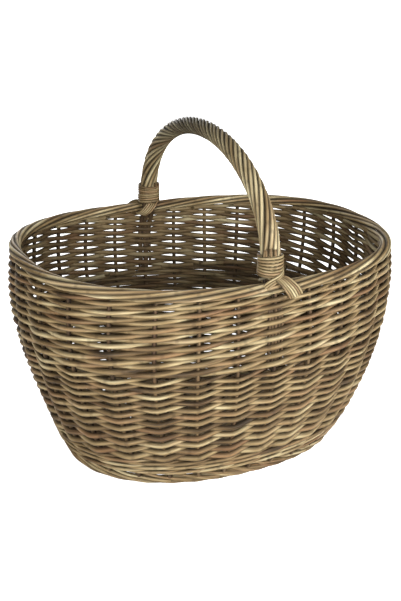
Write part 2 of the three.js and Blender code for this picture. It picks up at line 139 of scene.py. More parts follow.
@dataclass(frozen=True)
class BarkMarks:
    """Scales and strengths of the marks on the bark.

    A turn counts round the rod, a rate counts per metre of rod, and a shift moves the pattern
    with the rod's shade, so that no two rods are alike.
    """

    fibre_turn: float = 9.0
    fibre_rate: float = 28.0
    fibre_shift: float = 91.0
    fibre_detail: float = 3.0
    fibre_roughness: float = 0.65
    fibre_gain: float = 2.0
    drift_rate: float = 16.0
    drift_shift: float = 53.0
    drift_detail: float = 2.0
    drift_gain: float = 1.2
    patch_scale: float = 13.0
    patch_detail: float = 3.0
    patch_gain: float = 0.35
    shade_gain: float = 0.42
    shade_base: float = 0.27
    low_range: Range = (0.0, 0.3)
    middle_range: Range = (0.2, 0.62)
    high_range: Range = (0.52, 1.0)
    rust_rate: float = 11.0
    rust_shift: float = 117.0
    rust_detail: float = 1.0
    rust_range: Range = (0.5, 0.7)
    rust_share: float = 0.55
    scar_rate: float = 13.0
    scar_shift: float = 57.0
    scar_range: Range = (0.01, 0.045)
    scar_share: float = 0.28
    scar_height: float = 0.6
    # Painted shade on the side facing into the basket, and where rods touch or face the stakes
    inside_shade_range: Range = (0.4, 0.9)
    inside_shade_share: float = 0.6
    touch_power: float = 1.1
    touch_share: float = 0.98
    cut_colour: Colour = (0.09, 0.085, 0.055)
    cut_share: float = 0.7
    # Colour of the painted shade over the top of the bow handle
    worn_colour: Colour = (0.03, 0.027, 0.015)
    streak_roughness: float = -0.5
    # Roughness added under the painted shade
    shade_mask_roughness: float = 0.3


class NodeSketch:
    """Short ways to add and link the nodes of one tree."""

    def __init__(self, tree: bpy.types.NodeTree) -> None:
        """Takes the tree that the nodes go into."""
        self.nodes = tree.nodes
        self.links = tree.links

    def feed(self, socket: bpy.types.NodeSocket, value: object) -> None:
        """Links a socket, or gives it a value of its own.

        Args:
            socket: The socket that is fed.
            value: Another socket, a number or a colour.
        """
        if isinstance(value, bpy.types.NodeSocket):
            self.links.new(value, socket)
        else:
            socket.default_value = value

    def attribute(self, name: str) -> bpy.types.NodeSocket:
        """Reads one value of the rod.

        Args:
            name: Name of the point attribute.

        Returns:
            The value.
        """
        node = self.nodes.new("ShaderNodeAttribute")
        node.attribute_name = name
        return node.outputs["Fac"]

    def calculate(self, kind: str, *values: object, clamp: bool = False) -> bpy.types.NodeSocket:
        """Adds a Math node.

        Args:
            kind: Its operation.
            values: Sockets or numbers that it works on.
            clamp: Whether the result is kept within 0 and 1.

        Returns:
            The result.
        """
        node = self.nodes.new("ShaderNodeMath")
        node.operation = kind
        node.use_clamp = clamp
        for place, value in enumerate(values):
            self.feed(node.inputs[place], value)
        return node.outputs[0]

    def swing(self, value: bpy.types.NodeSocket, gain: object) -> bpy.types.NodeSocket:
        """Turns a noise between 0 and 1 into a swing of a given gain round 0."""
        return self.calculate("MULTIPLY", self.calculate("SUBTRACT", value, 0.5), gain)

    def mixed(self, share: object, first: object, second: object) -> bpy.types.NodeSocket:
        """Mixes two colours.

        Args:
            share: How much of the second one is taken, from 0 to 1.
            first: First colour.
            second: Second colour.

        Returns:
            The mixed colour.
        """
        node = self.nodes.new("ShaderNodeMix")
        node.data_type = "RGBA"
        for label, value in (("Factor", share), ("A", first), ("B", second)):
            self.feed(next(s for s in node.inputs if s.name == label and s.enabled), value)
        return next(s for s in node.outputs if s.enabled)

    def ranged(self, value: bpy.types.NodeSocket, span: Range) -> bpy.types.NodeSocket:
        """Spreads a range of a value over 0 to 1.

        Args:
            value: The value.
            span: Where the range starts and ends.

        Returns:
            The spread value.
        """
        node = self.nodes.new("ShaderNodeMapRange")
        node.interpolation_type = "SMOOTHSTEP"
        self.feed(node.inputs["Value"], value)
        node.inputs["From Min"].default_value, node.inputs["From Max"].default_value = span
        return node.outputs["Result"]

    def place(self, *values: bpy.types.NodeSocket) -> bpy.types.NodeSocket:
        """Joins up to three values to one place.

        Args:
            values: X, Y and Z.

        Returns:
            The place.
        """
        node = self.nodes.new("ShaderNodeCombineXYZ")
        for axis, value in enumerate(values):
            self.feed(node.inputs[axis], value)
        return node.outputs[0]

    def noise(
        self,
        place: bpy.types.NodeSocket,
        detail: float,
        scale: float = 1.0,
        roughness: float = 0.5,
    ) -> bpy.types.NodeSocket:
        """Adds a noise.

        Args:
            place: Where it is read.
            detail: How many finer layers it has.
            scale: How fine it is.
            roughness: How strong the finer layers are.

        Returns:
            The noise, from 0 to 1.
        """
        node = self.nodes.new("ShaderNodeTexNoise")
        node.inputs["Scale"].default_value = scale
        node.inputs["Detail"].default_value = detail
        node.inputs["Roughness"].default_value = roughness
        self.feed(node.inputs["Vector"], place)
        return node.outputs["Fac"]


class WillowMaterials:
    """Builds the node materials of the willow rods round one shared bark group."""

    def __init__(self) -> None:
        """Makes the shared node group."""
        self.bark = self._make_bark_group(BarkMarks())

    @staticmethod
    def _make_bark_group(marks: BarkMarks) -> bpy.types.NodeTree:
        """Builds the group that turns a rod's own values into colour, roughness and height.

        Args:
            marks: Scales and strengths of the marks.

        Returns:
            The node group.
        """
        tree = bpy.data.node_groups.new("willow_bark", "ShaderNodeTree")
        face = tree.interface
        for label in ("Shadow", "Low", "Middle", "High", "Rust", "Grime"):
            face.new_socket(label, in_out="INPUT", socket_type="NodeSocketColor")
        for label in ("Streaks", "Painted Shade Amount", "Base Roughness"):
            face.new_socket(label, in_out="INPUT", socket_type="NodeSocketFloat")
        face.new_socket("Color", in_out="OUTPUT", socket_type="NodeSocketColor")
        face.new_socket("Roughness", in_out="OUTPUT", socket_type="NodeSocketFloat")
        face.new_socket("Height", in_out="OUTPUT", socket_type="NodeSocketFloat")
        sketch = NodeSketch(tree)
        calculate, mixed, ranged = sketch.calculate, sketch.mixed, sketch.ranged
        given = sketch.nodes.new("NodeGroupInput").outputs
        result = sketch.nodes.new("NodeGroupOutput").inputs
        shade = sketch.attribute("shade")
        along = sketch.attribute("along")
        around = sketch.nodes.new("ShaderNodeUVMap")
        around.uv_map = "bark"
        parts = sketch.nodes.new("ShaderNodeSeparateXYZ")
        sketch.feed(parts.inputs[0], around.outputs["UV"])
        whole = sketch.nodes.new("ShaderNodeTexCoord").outputs["Object"]

        # Long fibres, a slow drift of colour along each rod, and patches on the whole basket
        fibre_place = sketch.place(
            calculate("MULTIPLY", parts.outputs["X"], marks.fibre_turn),
            calculate("MULTIPLY", along, marks.fibre_rate),
            calculate("MULTIPLY", shade, marks.fibre_shift),
        )
        fibres = sketch.noise(fibre_place, marks.fibre_detail, roughness=marks.fibre_roughness)
        drift_place = sketch.place(
            calculate("MULTIPLY", along, marks.drift_rate),
            calculate("MULTIPLY", shade, marks.drift_shift),
        )
        drift = sketch.noise(drift_place, marks.drift_detail)
        patches = sketch.noise(whole, marks.patch_detail, scale=marks.patch_scale)

        tone = calculate("MULTIPLY", shade, marks.shade_gain)
        tone = calculate("ADD", tone, marks.shade_base)
        tone = calculate("ADD", tone, sketch.swing(drift, marks.drift_gain))
        tone = calculate("ADD", tone, sketch.swing(patches, marks.patch_gain))
        streak = sketch.swing(fibres, given["Streaks"])
        streak_tone = calculate("MULTIPLY", streak, marks.fibre_gain)
        tone = calculate("ADD", tone, streak_tone, clamp=True)
        colour = mixed(ranged(tone, marks.low_range), given["Shadow"], given["Low"])
        colour = mixed(ranged(tone, marks.middle_range), colour, given["Middle"])
        colour = mixed(ranged(tone, marks.high_range), colour, given["High"])

        # Some lengths of bark keep a red-brown cast
        rust_place = sketch.place(
            calculate("MULTIPLY", along, marks.rust_rate),
            calculate("MULTIPLY", shade, marks.rust_shift),
        )
        rusty = sketch.noise(rust_place, marks.rust_detail)
        cast = calculate("MULTIPLY", ranged(rusty, marks.rust_range), marks.rust_share)
        colour = mixed(cast, colour, given["Rust"])

        # Leaf scars: short dark rings at uneven distances
        scars = sketch.nodes.new("ShaderNodeTexVoronoi")
        scars.voronoi_dimensions = "1D"
        scars.inputs["Scale"].default_value = 1.0
        scar_place = calculate(
            "ADD",
            calculate("MULTIPLY", along, marks.scar_rate),
            calculate("MULTIPLY", shade, marks.scar_shift),
        )
        sketch.feed(scars.inputs["W"], scar_place)
        scar = calculate("SUBTRACT", 1.0, ranged(scars.outputs["Distance"], marks.scar_range))
        colour = mixed(calculate("MULTIPLY", scar, marks.scar_share), colour, given["Shadow"])

        # Painted shade where rods touch, on the side of each rod that faces the stakes, and on the
        # side that faces into the basket
        facing_in = ranged(sketch.attribute("inward"), marks.inside_shade_range)
        inside_shade = calculate("MULTIPLY", facing_in, marks.inside_shade_share)
        touched = calculate("POWER", sketch.attribute("crevice"), marks.touch_power)
        touched = calculate("MULTIPLY", touched, marks.touch_share)
        shade_mask = calculate("MAXIMUM", inside_shade, touched)
        shade_mask = calculate("MULTIPLY", shade_mask, given["Painted Shade Amount"], clamp=True)
        colour = mixed(shade_mask, colour, given["Grime"])
        cut = calculate("MULTIPLY", sketch.attribute("cut"), marks.cut_share)
        colour = mixed(cut, colour, (*marks.cut_colour, 1.0))
        # Painted shade over the top of the bow handle
        colour = mixed(sketch.attribute("worn"), colour, (*marks.worn_colour, 1.0))
        sketch.feed(result["Color"], colour)

        rough = calculate("MULTIPLY", streak, marks.streak_roughness)
        rough = calculate("ADD", given["Base Roughness"], rough)
        # The bark is rougher where the painted shade lies
        shade_mask_rough = calculate("MULTIPLY", shade_mask, marks.shade_mask_roughness)
        rough = calculate("ADD", rough, shade_mask_rough, clamp=True)
        sketch.feed(result["Roughness"], rough)
        scar_height = calculate("MULTIPLY", scar, marks.scar_height)
        sketch.feed(result["Height"], calculate("ADD", fibres, scar_height))
        return tree

    def make(self, finish: WillowFinish) -> bpy.types.Material:
        """Builds one finish.

        Args:
            finish: Colours and sheen.

        Returns:
            The material.
        """
        material = bpy.data.materials.new(finish.name)
        material.use_nodes = True
        nodes, links = material.node_tree.nodes, material.node_tree.links
        surface = nodes["Principled BSDF"]
        bark = nodes.new("ShaderNodeGroup")
        bark.node_tree = self.bark
        for label, colour in (
            ("Shadow", finish.shadow),
            ("Low", finish.low),
            ("Middle", finish.middle),
            ("High", finish.high),
            ("Rust", finish.rust),
            ("Grime", finish.grime),
        ):
            bark.inputs[label].default_value = (*colour, 1.0)
        bark.inputs["Streaks"].default_value = finish.streaks
        bark.inputs["Painted Shade Amount"].default_value = finish.painted_shade_amount
        bark.inputs["Base Roughness"].default_value = finish.roughness
        bump = nodes.new("ShaderNodeBump")
        bump.inputs["Strength"].default_value = finish.bump_strength
        bump.inputs["Distance"].default_value = finish.bump_distance
        links.new(bark.outputs["Color"], surface.inputs["Base Color"])
        links.new(bark.outputs["Roughness"], surface.inputs["Roughness"])
        links.new(bark.outputs["Height"], bump.inputs["Height"])
        links.new(bump.outputs["Normal"], surface.inputs["Normal"])
        surface.inputs["Specular IOR Level"].default_value = finish.specular
        return material


# Rods


def unit(vectors: Array) -> Array:
    """Scales each row to length one."""
    return vectors / np.maximum(np.linalg.norm(vectors, axis=1, keepdims=True), 1e-9)


def woven(turn: Array) -> Array:
    """Runs from -1 at even turns to 1 at odd turns, nearly straight in between."""
    return -0.25 * np.cos(math.pi * turn) - 0.75 * (1 - 2 * np.abs((turn - 1) % 2 - 1))


def smooth(values: Array, times: int = 1) -> Array:
    """Rounds the kinks of a row of points, keeping its ends.

    Args:
        values: The points, one row each.
        times: How often they are rounded.

    Returns:
        The rounded points.
    """
    for _ in range(times):
        middle = 0.25 * values[:-2] + 0.5 * values[1:-1] + 0.25 * values[2:]
        values = np.concatenate([values[:1], middle, values[-1:]])
    return values


def interpolated(where: Array, knots: Array, rows: Array) -> Array:
    """Reads points between rows that stand at the knots, one for each place asked for."""
    return np.stack([np.interp(where, knots, rows[:, axis]) for axis in range(3)], axis=1)


@dataclass
class RodBundle:
    """Rods that become one piece: round tubes, each with its own shade and length from its butt."""

    name: str
    sides: int = 8
    hidden_gain: float = 1.8
    hidden_limit: float = 0.85
    smooth_degrees: float = 62.0
    count: int = 0
    places: list[Array] = field(default_factory=list)
    faces: list[tuple[int, ...]] = field(default_factory=list)
    around: list[tuple[float, ...]] = field(default_factory=list)
    values: dict[str, list[Array]] = field(default_factory=dict)

    def _note(self, skin: Array, **values: Array) -> None:
        """Keeps points with the values that the bark reads.

        Args:
            skin: The points, one row each.
            values: Each value by name, one number a point.
        """
        self.places.append(skin)
        self.count += len(skin)
        for key, row in values.items():
            self.values.setdefault(key, []).append(row)

    def add(
        self,
        points: Array,
        outs: Array,
        radii: Array | float,
        shade: float,
        facing: bool = True,
        crevice: float = 1.0,
        closed: bool = False,
        worn: Array | float = 0.0,
        depth: Array | float = 0.0,
    ) -> None:
        """Adds one rod.

        Args:
            points: Centre line, one row a point.
            outs: Direction away from the basket's wall or core at each point.
            radii: Radius at each point, or one for all.
            shade: Tone of the rod, where 0 is dark and 1 is pale.
            facing: Whether the rod's inner side takes the painted shade of the wall's inside.
            crevice: How much painted shade lies where the rod touches the rods over and under it.
            closed: Whether the rod runs into its own start.
            worn: How much painted shade darkens the rod at each point.
            depth: Where the rod lies at each point, from -1 inside the stakes to 1 outside. The
                side that faces the stakes gets painted shade.
        """
        length = len(points)
        radii = np.broadcast_to(np.asarray(radii, dtype=float), (length,))
        if closed:
            along_way = unit(np.roll(points, -1, axis=0) - np.roll(points, 1, axis=0))
        else:
            along_way = unit(np.gradient(points, axis=0))
        outs = unit(outs - np.sum(outs * along_way, axis=1, keepdims=True) * along_way)
        side = np.cross(outs, along_way)
        angle = 2 * math.pi * np.arange(self.sides) / self.sides
        cosine, sine = np.cos(angle), np.sin(angle)
        ring = side[:, None, :] * cosine[None, :, None] + outs[:, None, :] * sine[None, :, None]
        skin = points[:, None, :] + ring * radii[:, None, None]
        steps = np.linalg.norm(np.diff(points, axis=0), axis=1)
        run = np.concatenate([[0.0], np.cumsum(steps)]) * MM
        # Painted shade on the side of the rod that faces into the basket
        inward = (1 - sine) / 2 if facing else np.zeros(self.sides)
        # Painted shade on the side of the rod that faces the stakes, joined below with the painted
        # shade where rods touch
        turned_in = -np.broadcast_to(depth, (length,))[:, None] * sine[None, :]
        hidden = np.clip(self.hidden_gain * turned_in, 0, self.hidden_limit)
        start = self.count
        self._note(
            skin.reshape(-1, 3),
            shade=np.full(length * self.sides, shade),
            along=np.repeat(run, self.sides),
            inward=np.tile(inward, length),
            crevice=np.maximum(np.abs(cosine)[None, :] * crevice, hidden).ravel(),
            cut=np.zeros(length * self.sides),
            worn=np.repeat(np.broadcast_to(worn, (length,)), self.sides),
        )
        for i in range(length if closed else length - 1):
            here = start + i * self.sides
            after = start + ((i + 1) % length) * self.sides
            for j in range(self.sides):
                k = (j + 1) % self.sides
                self.faces.append((here + j, here + k, after + k, after + j))
                first, last = j / self.sides, (j + 1) / self.sides
                self.around.append((first, last, last, first))
        if not closed:
            self._cap(skin[0], points[0], along_way[0] * -1, shade, run[0])
            self._cap(skin[-1], points[-1], along_way[-1], shade, run[-1])

    def _cap(self, ring: Array, centre: Array, way: Array, shade: float, run: float) -> None:
        """Closes an end with its own ring, so that the cut shows.

        Args:
            ring: The end's ring of points.
            centre: Its middle.
            way: Direction out of the end.
            shade: Tone of the rod.
            run: Length along the rod in metres.
        """
        total = len(ring)
        turned = np.sum(np.cross(ring[1] - centre, ring[2] - centre) * way) < 0
        order = list(range(self.count, self.count + total))
        self.faces.append(tuple(reversed(order)) if turned else tuple(order))
        self.around.append((0.0,) * total)
        self._note(
            ring,
            shade=np.full(total, shade),
            along=np.full(total, run),
            inward=np.zeros(total),
            crevice=np.zeros(total),
            cut=np.ones(total),
            worn=np.zeros(total),
        )

    def build(self, material: bpy.types.Material, slot: str, *nodes: str) -> None:
        """Makes the mesh and puts it in the scene, on the body root.

        Args:
            material: Finish of the rods.
            slot: Material slot of the record; not used.
            nodes: CAD nodes that the piece stands for.
        """
        mesh = bpy.data.meshes.new(self.name)
        mesh.from_pydata((np.concatenate(self.places) * MM).tolist(), [], self.faces)
        bark = mesh.uv_layers.new(name="bark")
        flat = [value for face in self.around for value in face]
        spread = np.zeros(len(flat) * 2)
        spread[0::2] = flat
        bark.data.foreach_set("uv", spread)
        for key, rows in self.values.items():
            layer = mesh.attributes.new(key, "FLOAT", "POINT")
            layer.data.foreach_set("value", np.concatenate(rows))
        mesh.materials.append(material)
        piece = bpy.data.objects.new(self.name, mesh)
        bpy.context.scene.collection.objects.link(piece)
        bpy.ops.object.select_all(action="DESELECT")
        bpy.context.view_layer.objects.active = piece
        piece.select_set(True)
        bpy.ops.object.shade_smooth_by_angle(angle=math.radians(self.smooth_degrees))
        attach(piece, "root")
        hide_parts(*nodes)
        LOG.info("%s: %d faces", self.name, len(mesh.polygons))


# The wall's form


@dataclass
class WallForm:
    """The oval wall, from the foot to the border."""

    foot_half_length: float = 184.0
    foot_half_width: float = 137.0
    rim_half_length: float = 238.0
    rim_half_width: float = 192.0
    rim_height: float = 260.0
    rim_lift: float = 5.0
    belly_length: float = 17.5
    belly_width: float = 27.0
    belly_high_bias: float = 0.4
    foot_squareness: float = 2.2
    rim_squareness: float = 2.4
    stakes: int = 28
    crowding: float = 0.06
    half_thickness: float = 7.75
    samples: int = 2800
    bearing_step: float = 0.001

    def __post_init__(self) -> None:
        """Measures the oval once, to share the stations out along it."""
        self.bearings = np.linspace(0, 2 * math.pi, self.samples + 1)
        half_way = np.full(self.samples + 1, self.rim_height / 2)
        flat = self._flat(self.bearings, half_way)
        steps = np.linalg.norm(np.diff(flat, axis=0), axis=1)
        run = np.concatenate([[0.0], np.cumsum(steps)])
        self.shares = run / run[-1]

    def oval(self, height: Array) -> tuple[Array, Array, Array]:
        """Outline of the outside at each height.

        Args:
            height: The heights.

        Returns:
            Half length, half width and squareness.
        """
        rise = height / self.rim_height
        belly = 4 * rise * (1 - rise)
        end_belly = belly * (1 - self.belly_high_bias * (1 - 2 * rise))
        half_length = self.foot_half_length + (self.rim_half_length - self.foot_half_length) * rise
        half_width = self.foot_half_width + (self.rim_half_width - self.foot_half_width) * rise
        more_square = self.rim_squareness - self.foot_squareness
        square = self.foot_squareness + more_square * np.clip(rise, 0, 1)
        return (
            half_length + self.belly_length * end_belly,
            half_width + self.belly_width * belly,
            square,
        )

    def _flat(self, bearing: Array, height: Array) -> Array:
        """Points of the stakes' layer, seen from above.

        Args:
            bearing: Direction from the middle, in radians.
            height: Height of each point.

        Returns:
            X and Y of each point.
        """
        half_length, half_width, square = self.oval(height)
        c = np.abs(np.cos(bearing)) / (half_length - self.half_thickness)
        s = np.abs(np.sin(bearing)) / (half_width - self.half_thickness)
        reach = (c**square + s**square) ** (-1 / square)
        return np.stack([reach * np.cos(bearing), reach * np.sin(bearing)], axis=1)

    def bearing(self, station: Array) -> Array:
        """Direction of each station from the middle.

        Args:
            station: The stations.

        Returns:
            The bearings in radians.
        """
        turns = np.floor(station / self.stakes)
        share = station / self.stakes - turns
        crowded = share + self.crowding * np.sin(4 * math.pi * share) / (4 * math.pi)
        return 2 * math.pi * turns + np.interp(crowded, self.shares, self.bearings)

    def outward(self, station: Array, height: Array) -> Array:
        """Level direction out of the wall.

        Args:
            station: Station of each point.
            height: Height of each point.

        Returns:
            One direction a point.
        """
        bearing = self.bearing(station)
        ahead = self._flat(bearing + self.bearing_step, height)
        behind = self._flat(bearing - self.bearing_step, height)
        way = ahead - behind
        return unit(np.stack([way[:, 1], -way[:, 0], np.zeros(len(way))], axis=1))

    def point(self, station: Array, height: Array, offset: Array | float = 0.0) -> Array:
        """Points of the wall.

        Args:
            station: Station of each point.
            height: Height of each point.
            offset: Distance outwards from the stakes' layer.

        Returns:
            The points.
        """
        station = np.asarray(station, dtype=float)
        height = np.broadcast_to(np.asarray(height, dtype=float), station.shape)
        flat = self._flat(self.bearing(station), height)
        level = np.concatenate([flat, height[:, None]], axis=1)
        outs = self.outward(station, height)
        return level + outs * np.broadcast_to(offset, station.shape)[:, None]

    def rim(self, station: Array) -> Array:
        """Height of the border's middle at each station."""
        bearing = self.bearing(np.asarray(station, dtype=float))
        return self.rim_height + self.rim_lift * np.cos(bearing) ** 2


# Sub-assemblies of the wall


@dataclass
class Siding:
    """A band of French randing. A rod starts behind each stake and climbs half a row a stake."""

    wall: WallForm
    name: str
    nodes: tuple[str, ...]
    bottom: float
    top: float
    rows: int
    butt_radius: float
    tip_radius: float
    tightening: float
    steep_share: float
    paleness: float = 0.92
    darkest: float = 0.02
    # How much painted shade the rods get where they pass inside the stakes
    sinking: float = 1.0
    follow_rim: bool = False
    reach: float = 5.2
    butt_ends: tuple[int, int] = (4, 6)
    tip_ends: tuple[int, int] = (1, 4)
    wander: float = 0.55
    wander_rates: Range = (0.3, 0.9)
    radius_range: Range = (0.94, 1.06)
    swelling: float = 0.03
    swelling_rate: float = 2.1
    steps_per_stake: int = 10
    seed: int = 12

    def heights(self, station: Array, turn: Array) -> Array:
        """Heights of a rod.

        Args:
            station: Station of each point.
            turn: Number of stakes that the rod has passed there.

        Returns:
            The heights.
        """
        pair = np.floor(turn / 2)
        part = turn - 2 * pair
        easy = (1 - self.steep_share) * np.minimum(part, 1)
        steep = self.steep_share * np.maximum(part - 1, 0)
        row = (pair + easy + steep) / self.rows
        climb = row * (1 + self.tightening - self.tightening * row)
        top = self.top
        if self.follow_rim:
            top = self.wall.rim(station) - self.wall.rim_height + self.top
        return self.bottom + (top - self.bottom) * climb

    def build(self, material: bpy.types.Material) -> None:
        """Weaves the band.

        Args:
            material: Finish of the rods.
        """
        bundle = RodBundle(self.name)
        rng = random.Random(self.seed)
        steps = self.rows * 2
        for start in range(self.wall.stakes):
            butt_steps, tip_steps = rng.randint(*self.butt_ends), rng.randint(*self.tip_ends)
            last = steps * self.steps_per_stake + tip_steps
            turn = np.arange(-butt_steps, last + 1) / self.steps_per_stake
            station = start + turn
            inner = np.clip(turn, 0, steps)
            wave = np.sin(turn * rng.uniform(*self.wander_rates) + rng.uniform(*PHASES))
            height = self.heights(station, inner) + self.wander * wave
            share = inner / steps
            radius = self.butt_radius + (self.tip_radius - self.butt_radius) * share
            radius = radius * rng.uniform(*self.radius_range)
            swell = np.sin(turn * self.swelling_rate + rng.uniform(*PHASES))
            radius = radius * (1 + self.swelling * swell)
            lie = woven(inner)
            points = smooth(self.wall.point(station, height, self.reach * lie))
            # Depth sets the painted shade on the side that faces the stakes
            depth = np.where(lie > 0, lie, self.sinking * lie)
            tone = self.darkest + self.paleness * rng.random()
            outs = self.wall.outward(station, height)
            bundle.add(points, outs, radius, shade=tone, depth=depth)
        bundle.build(material, WEAVING_WILLOW.slot, *self.nodes)


@dataclass
class Upsett:
    """Rows of three-rod waling that hold the stakes upright over the foot."""

    wall: WallForm
    bottom: float = 22.2
    row_height: float = 8.4
    rows: int = 3
    rods: int = 3
    pieces_per_rod: int = 6
    radius: float = 2.35
    radius_range: Range = (0.93, 1.05)
    reach: float = 5.4
    front_gain: float = 1.3
    front_shift: float = 0.45
    slant: float = 3.7
    fall_start: float = 0.92
    paleness: float = 0.9
    steps_per_stake: int = 6
    seed: int = 5

    def build(self, material: bpy.types.Material) -> None:
        """Weaves the waling as one long spiral of three rods.

        Args:
            material: Finish of the rods.
        """
        bundle = RodBundle("upsett_waling")
        rng = random.Random(self.seed)
        stations = self.rows * self.wall.stakes
        for rod in range(self.rods):
            turn = np.arange(0, stations + 1e-6, 1 / self.steps_per_stake)
            cycle = (turn / self.rods) % 1
            swing = np.cos(2 * math.pi * (cycle - 0.5))
            front = np.clip(swing * self.front_gain + self.front_shift, -1, 1)
            height = self.bottom + self.row_height * (turn / self.wall.stakes - 0.5)
            top = self.bottom + self.row_height * (self.rows - 1)
            height = np.clip(height, self.bottom, top)
            fall = -1 + (1 - cycle) / ((1 - self.fall_start) / 2)
            fall = np.where(cycle < self.fall_start, 1, fall)
            height = height + self.slant * (2 * cycle - 1) * fall
            points = smooth(self.wall.point(turn + rod, height, self.reach * front), 2)
            for part in np.array_split(np.arange(len(turn)), self.pieces_per_rod):
                piece = np.arange(part[0], min(part[-1] + 3, len(turn)))
                outs = self.wall.outward(turn[piece] + rod, height[piece])
                radius = self.radius * rng.uniform(*self.radius_range)
                tone = rng.random() * self.paleness
                bundle.add(points[piece], outs, radius, shade=tone, depth=front[piece])
        bundle.build(material, WEAVING_WILLOW.slot, "upsett_outer_wale")


@dataclass
class StakesAndBorder:
    """Each stake rises in the middle of the wall and is laid down along the rim."""

    wall: WallForm
    stake_radius: float = 2.7
    stake_taper: Range = (1.05, 0.95)
    stake_foot: float = 9.0
    stake_below_rim: float = 6.0
    stake_points: int = 26
    stake_wobble: float = 0.02
    stake_wave: float = 37.0
    stake_paleness: float = 0.8
    rod_radius: float = 2.75
    tip_radius: float = 1.9
    radius_range: Range = (0.94, 1.06)
    roll_radius: float = 4.9
    roll_bulge: Range = (-0.25, 0.35)
    span: float = 6.5
    span_range: Range = (-0.25, 0.25)
    first_angle: float = -78.0
    last_angle: float = 252.0
    easing: float = 0.92
    first_reach: float = 0.35
    first_share: float = 0.12
    first_drop: float = 4.0
    drop_share: float = 0.1
    darkest: float = 0.58
    paleness: float = 0.6
    # Strength of the painted shade where the border's rods touch
    crevice: float = 1.15
    steps_per_stake: int = 8
    seed: int = 21

    def build(self, stake_finish: bpy.types.Material, border_finish: bpy.types.Material) -> None:
        """Makes the stakes and the rolled border.

        Args:
            stake_finish: Finish of the stakes.
            border_finish: Finish of the border's rods.
        """
        rng = random.Random(self.seed)
        stakes = RodBundle("stakes")
        border = RodBundle("rolled_border")
        count = self.stake_points
        for station in range(self.wall.stakes):
            height = np.linspace(
                self.stake_foot, self.wall.rim_height - self.stake_below_rim, count
            )
            wobble = self.stake_wobble * np.sin(height / self.stake_wave + rng.uniform(*PHASES))
            place = np.full(count, float(station)) + wobble
            stakes.add(
                self.wall.point(place, height),
                self.wall.outward(place, height),
                self.stake_radius * np.linspace(*self.stake_taper, count),
                shade=rng.random() * self.stake_paleness,
            )
            self._lay_down(border, station, rng)
        names = [f"stake_{number:02d}" for number in range(1, self.wall.stakes + 1)]
        stakes.build(stake_finish, STAKE_WILLOW.slot, *names)
        border.build(border_finish, WEAVING_WILLOW.slot, "border")

    def _lay_down(self, border: RodBundle, station: int, rng: random.Random) -> None:
        """Lays one rod of the border round the roll.

        Args:
            border: The bundle that takes the rod.
            station: Stake that the rod comes from.
            rng: Source of the small differences between rods.
        """
        steps = int(self.span * self.steps_per_stake)
        turn = np.linspace(0, self.span + rng.uniform(*self.span_range), steps)
        share = turn / turn[-1]
        eased = share**self.easing
        angle = np.radians(self.first_angle + (self.last_angle - self.first_angle) * eased)
        place = station + turn
        rim_height = np.full(len(turn), self.wall.rim_height)
        growth = (1 - self.first_reach) * np.clip(share / self.first_share, 0, 1)
        reach = self.roll_radius * (self.first_reach + growth)
        reach = reach + rng.uniform(*self.roll_bulge) * np.sin(math.pi * share)
        drop = self.first_drop * (1 - np.clip(share / self.drop_share, 0, 1)) ** 2
        middle = self.wall.point(place, rim_height)
        middle[:, 2] = self.wall.rim(place) - drop
        ways = self.wall.outward(place, rim_height) * np.cos(angle)[:, None]
        ways[:, 2] = np.sin(angle)
        radius = self.rod_radius + (self.tip_radius - self.rod_radius) * share**2
        radius = radius * rng.uniform(*self.radius_range)
        points = middle + ways * reach[:, None]
        tone = self.darkest + self.paleness * rng.random()
        border.add(points, ways, radius, shade=tone, crevice=self.crevice)


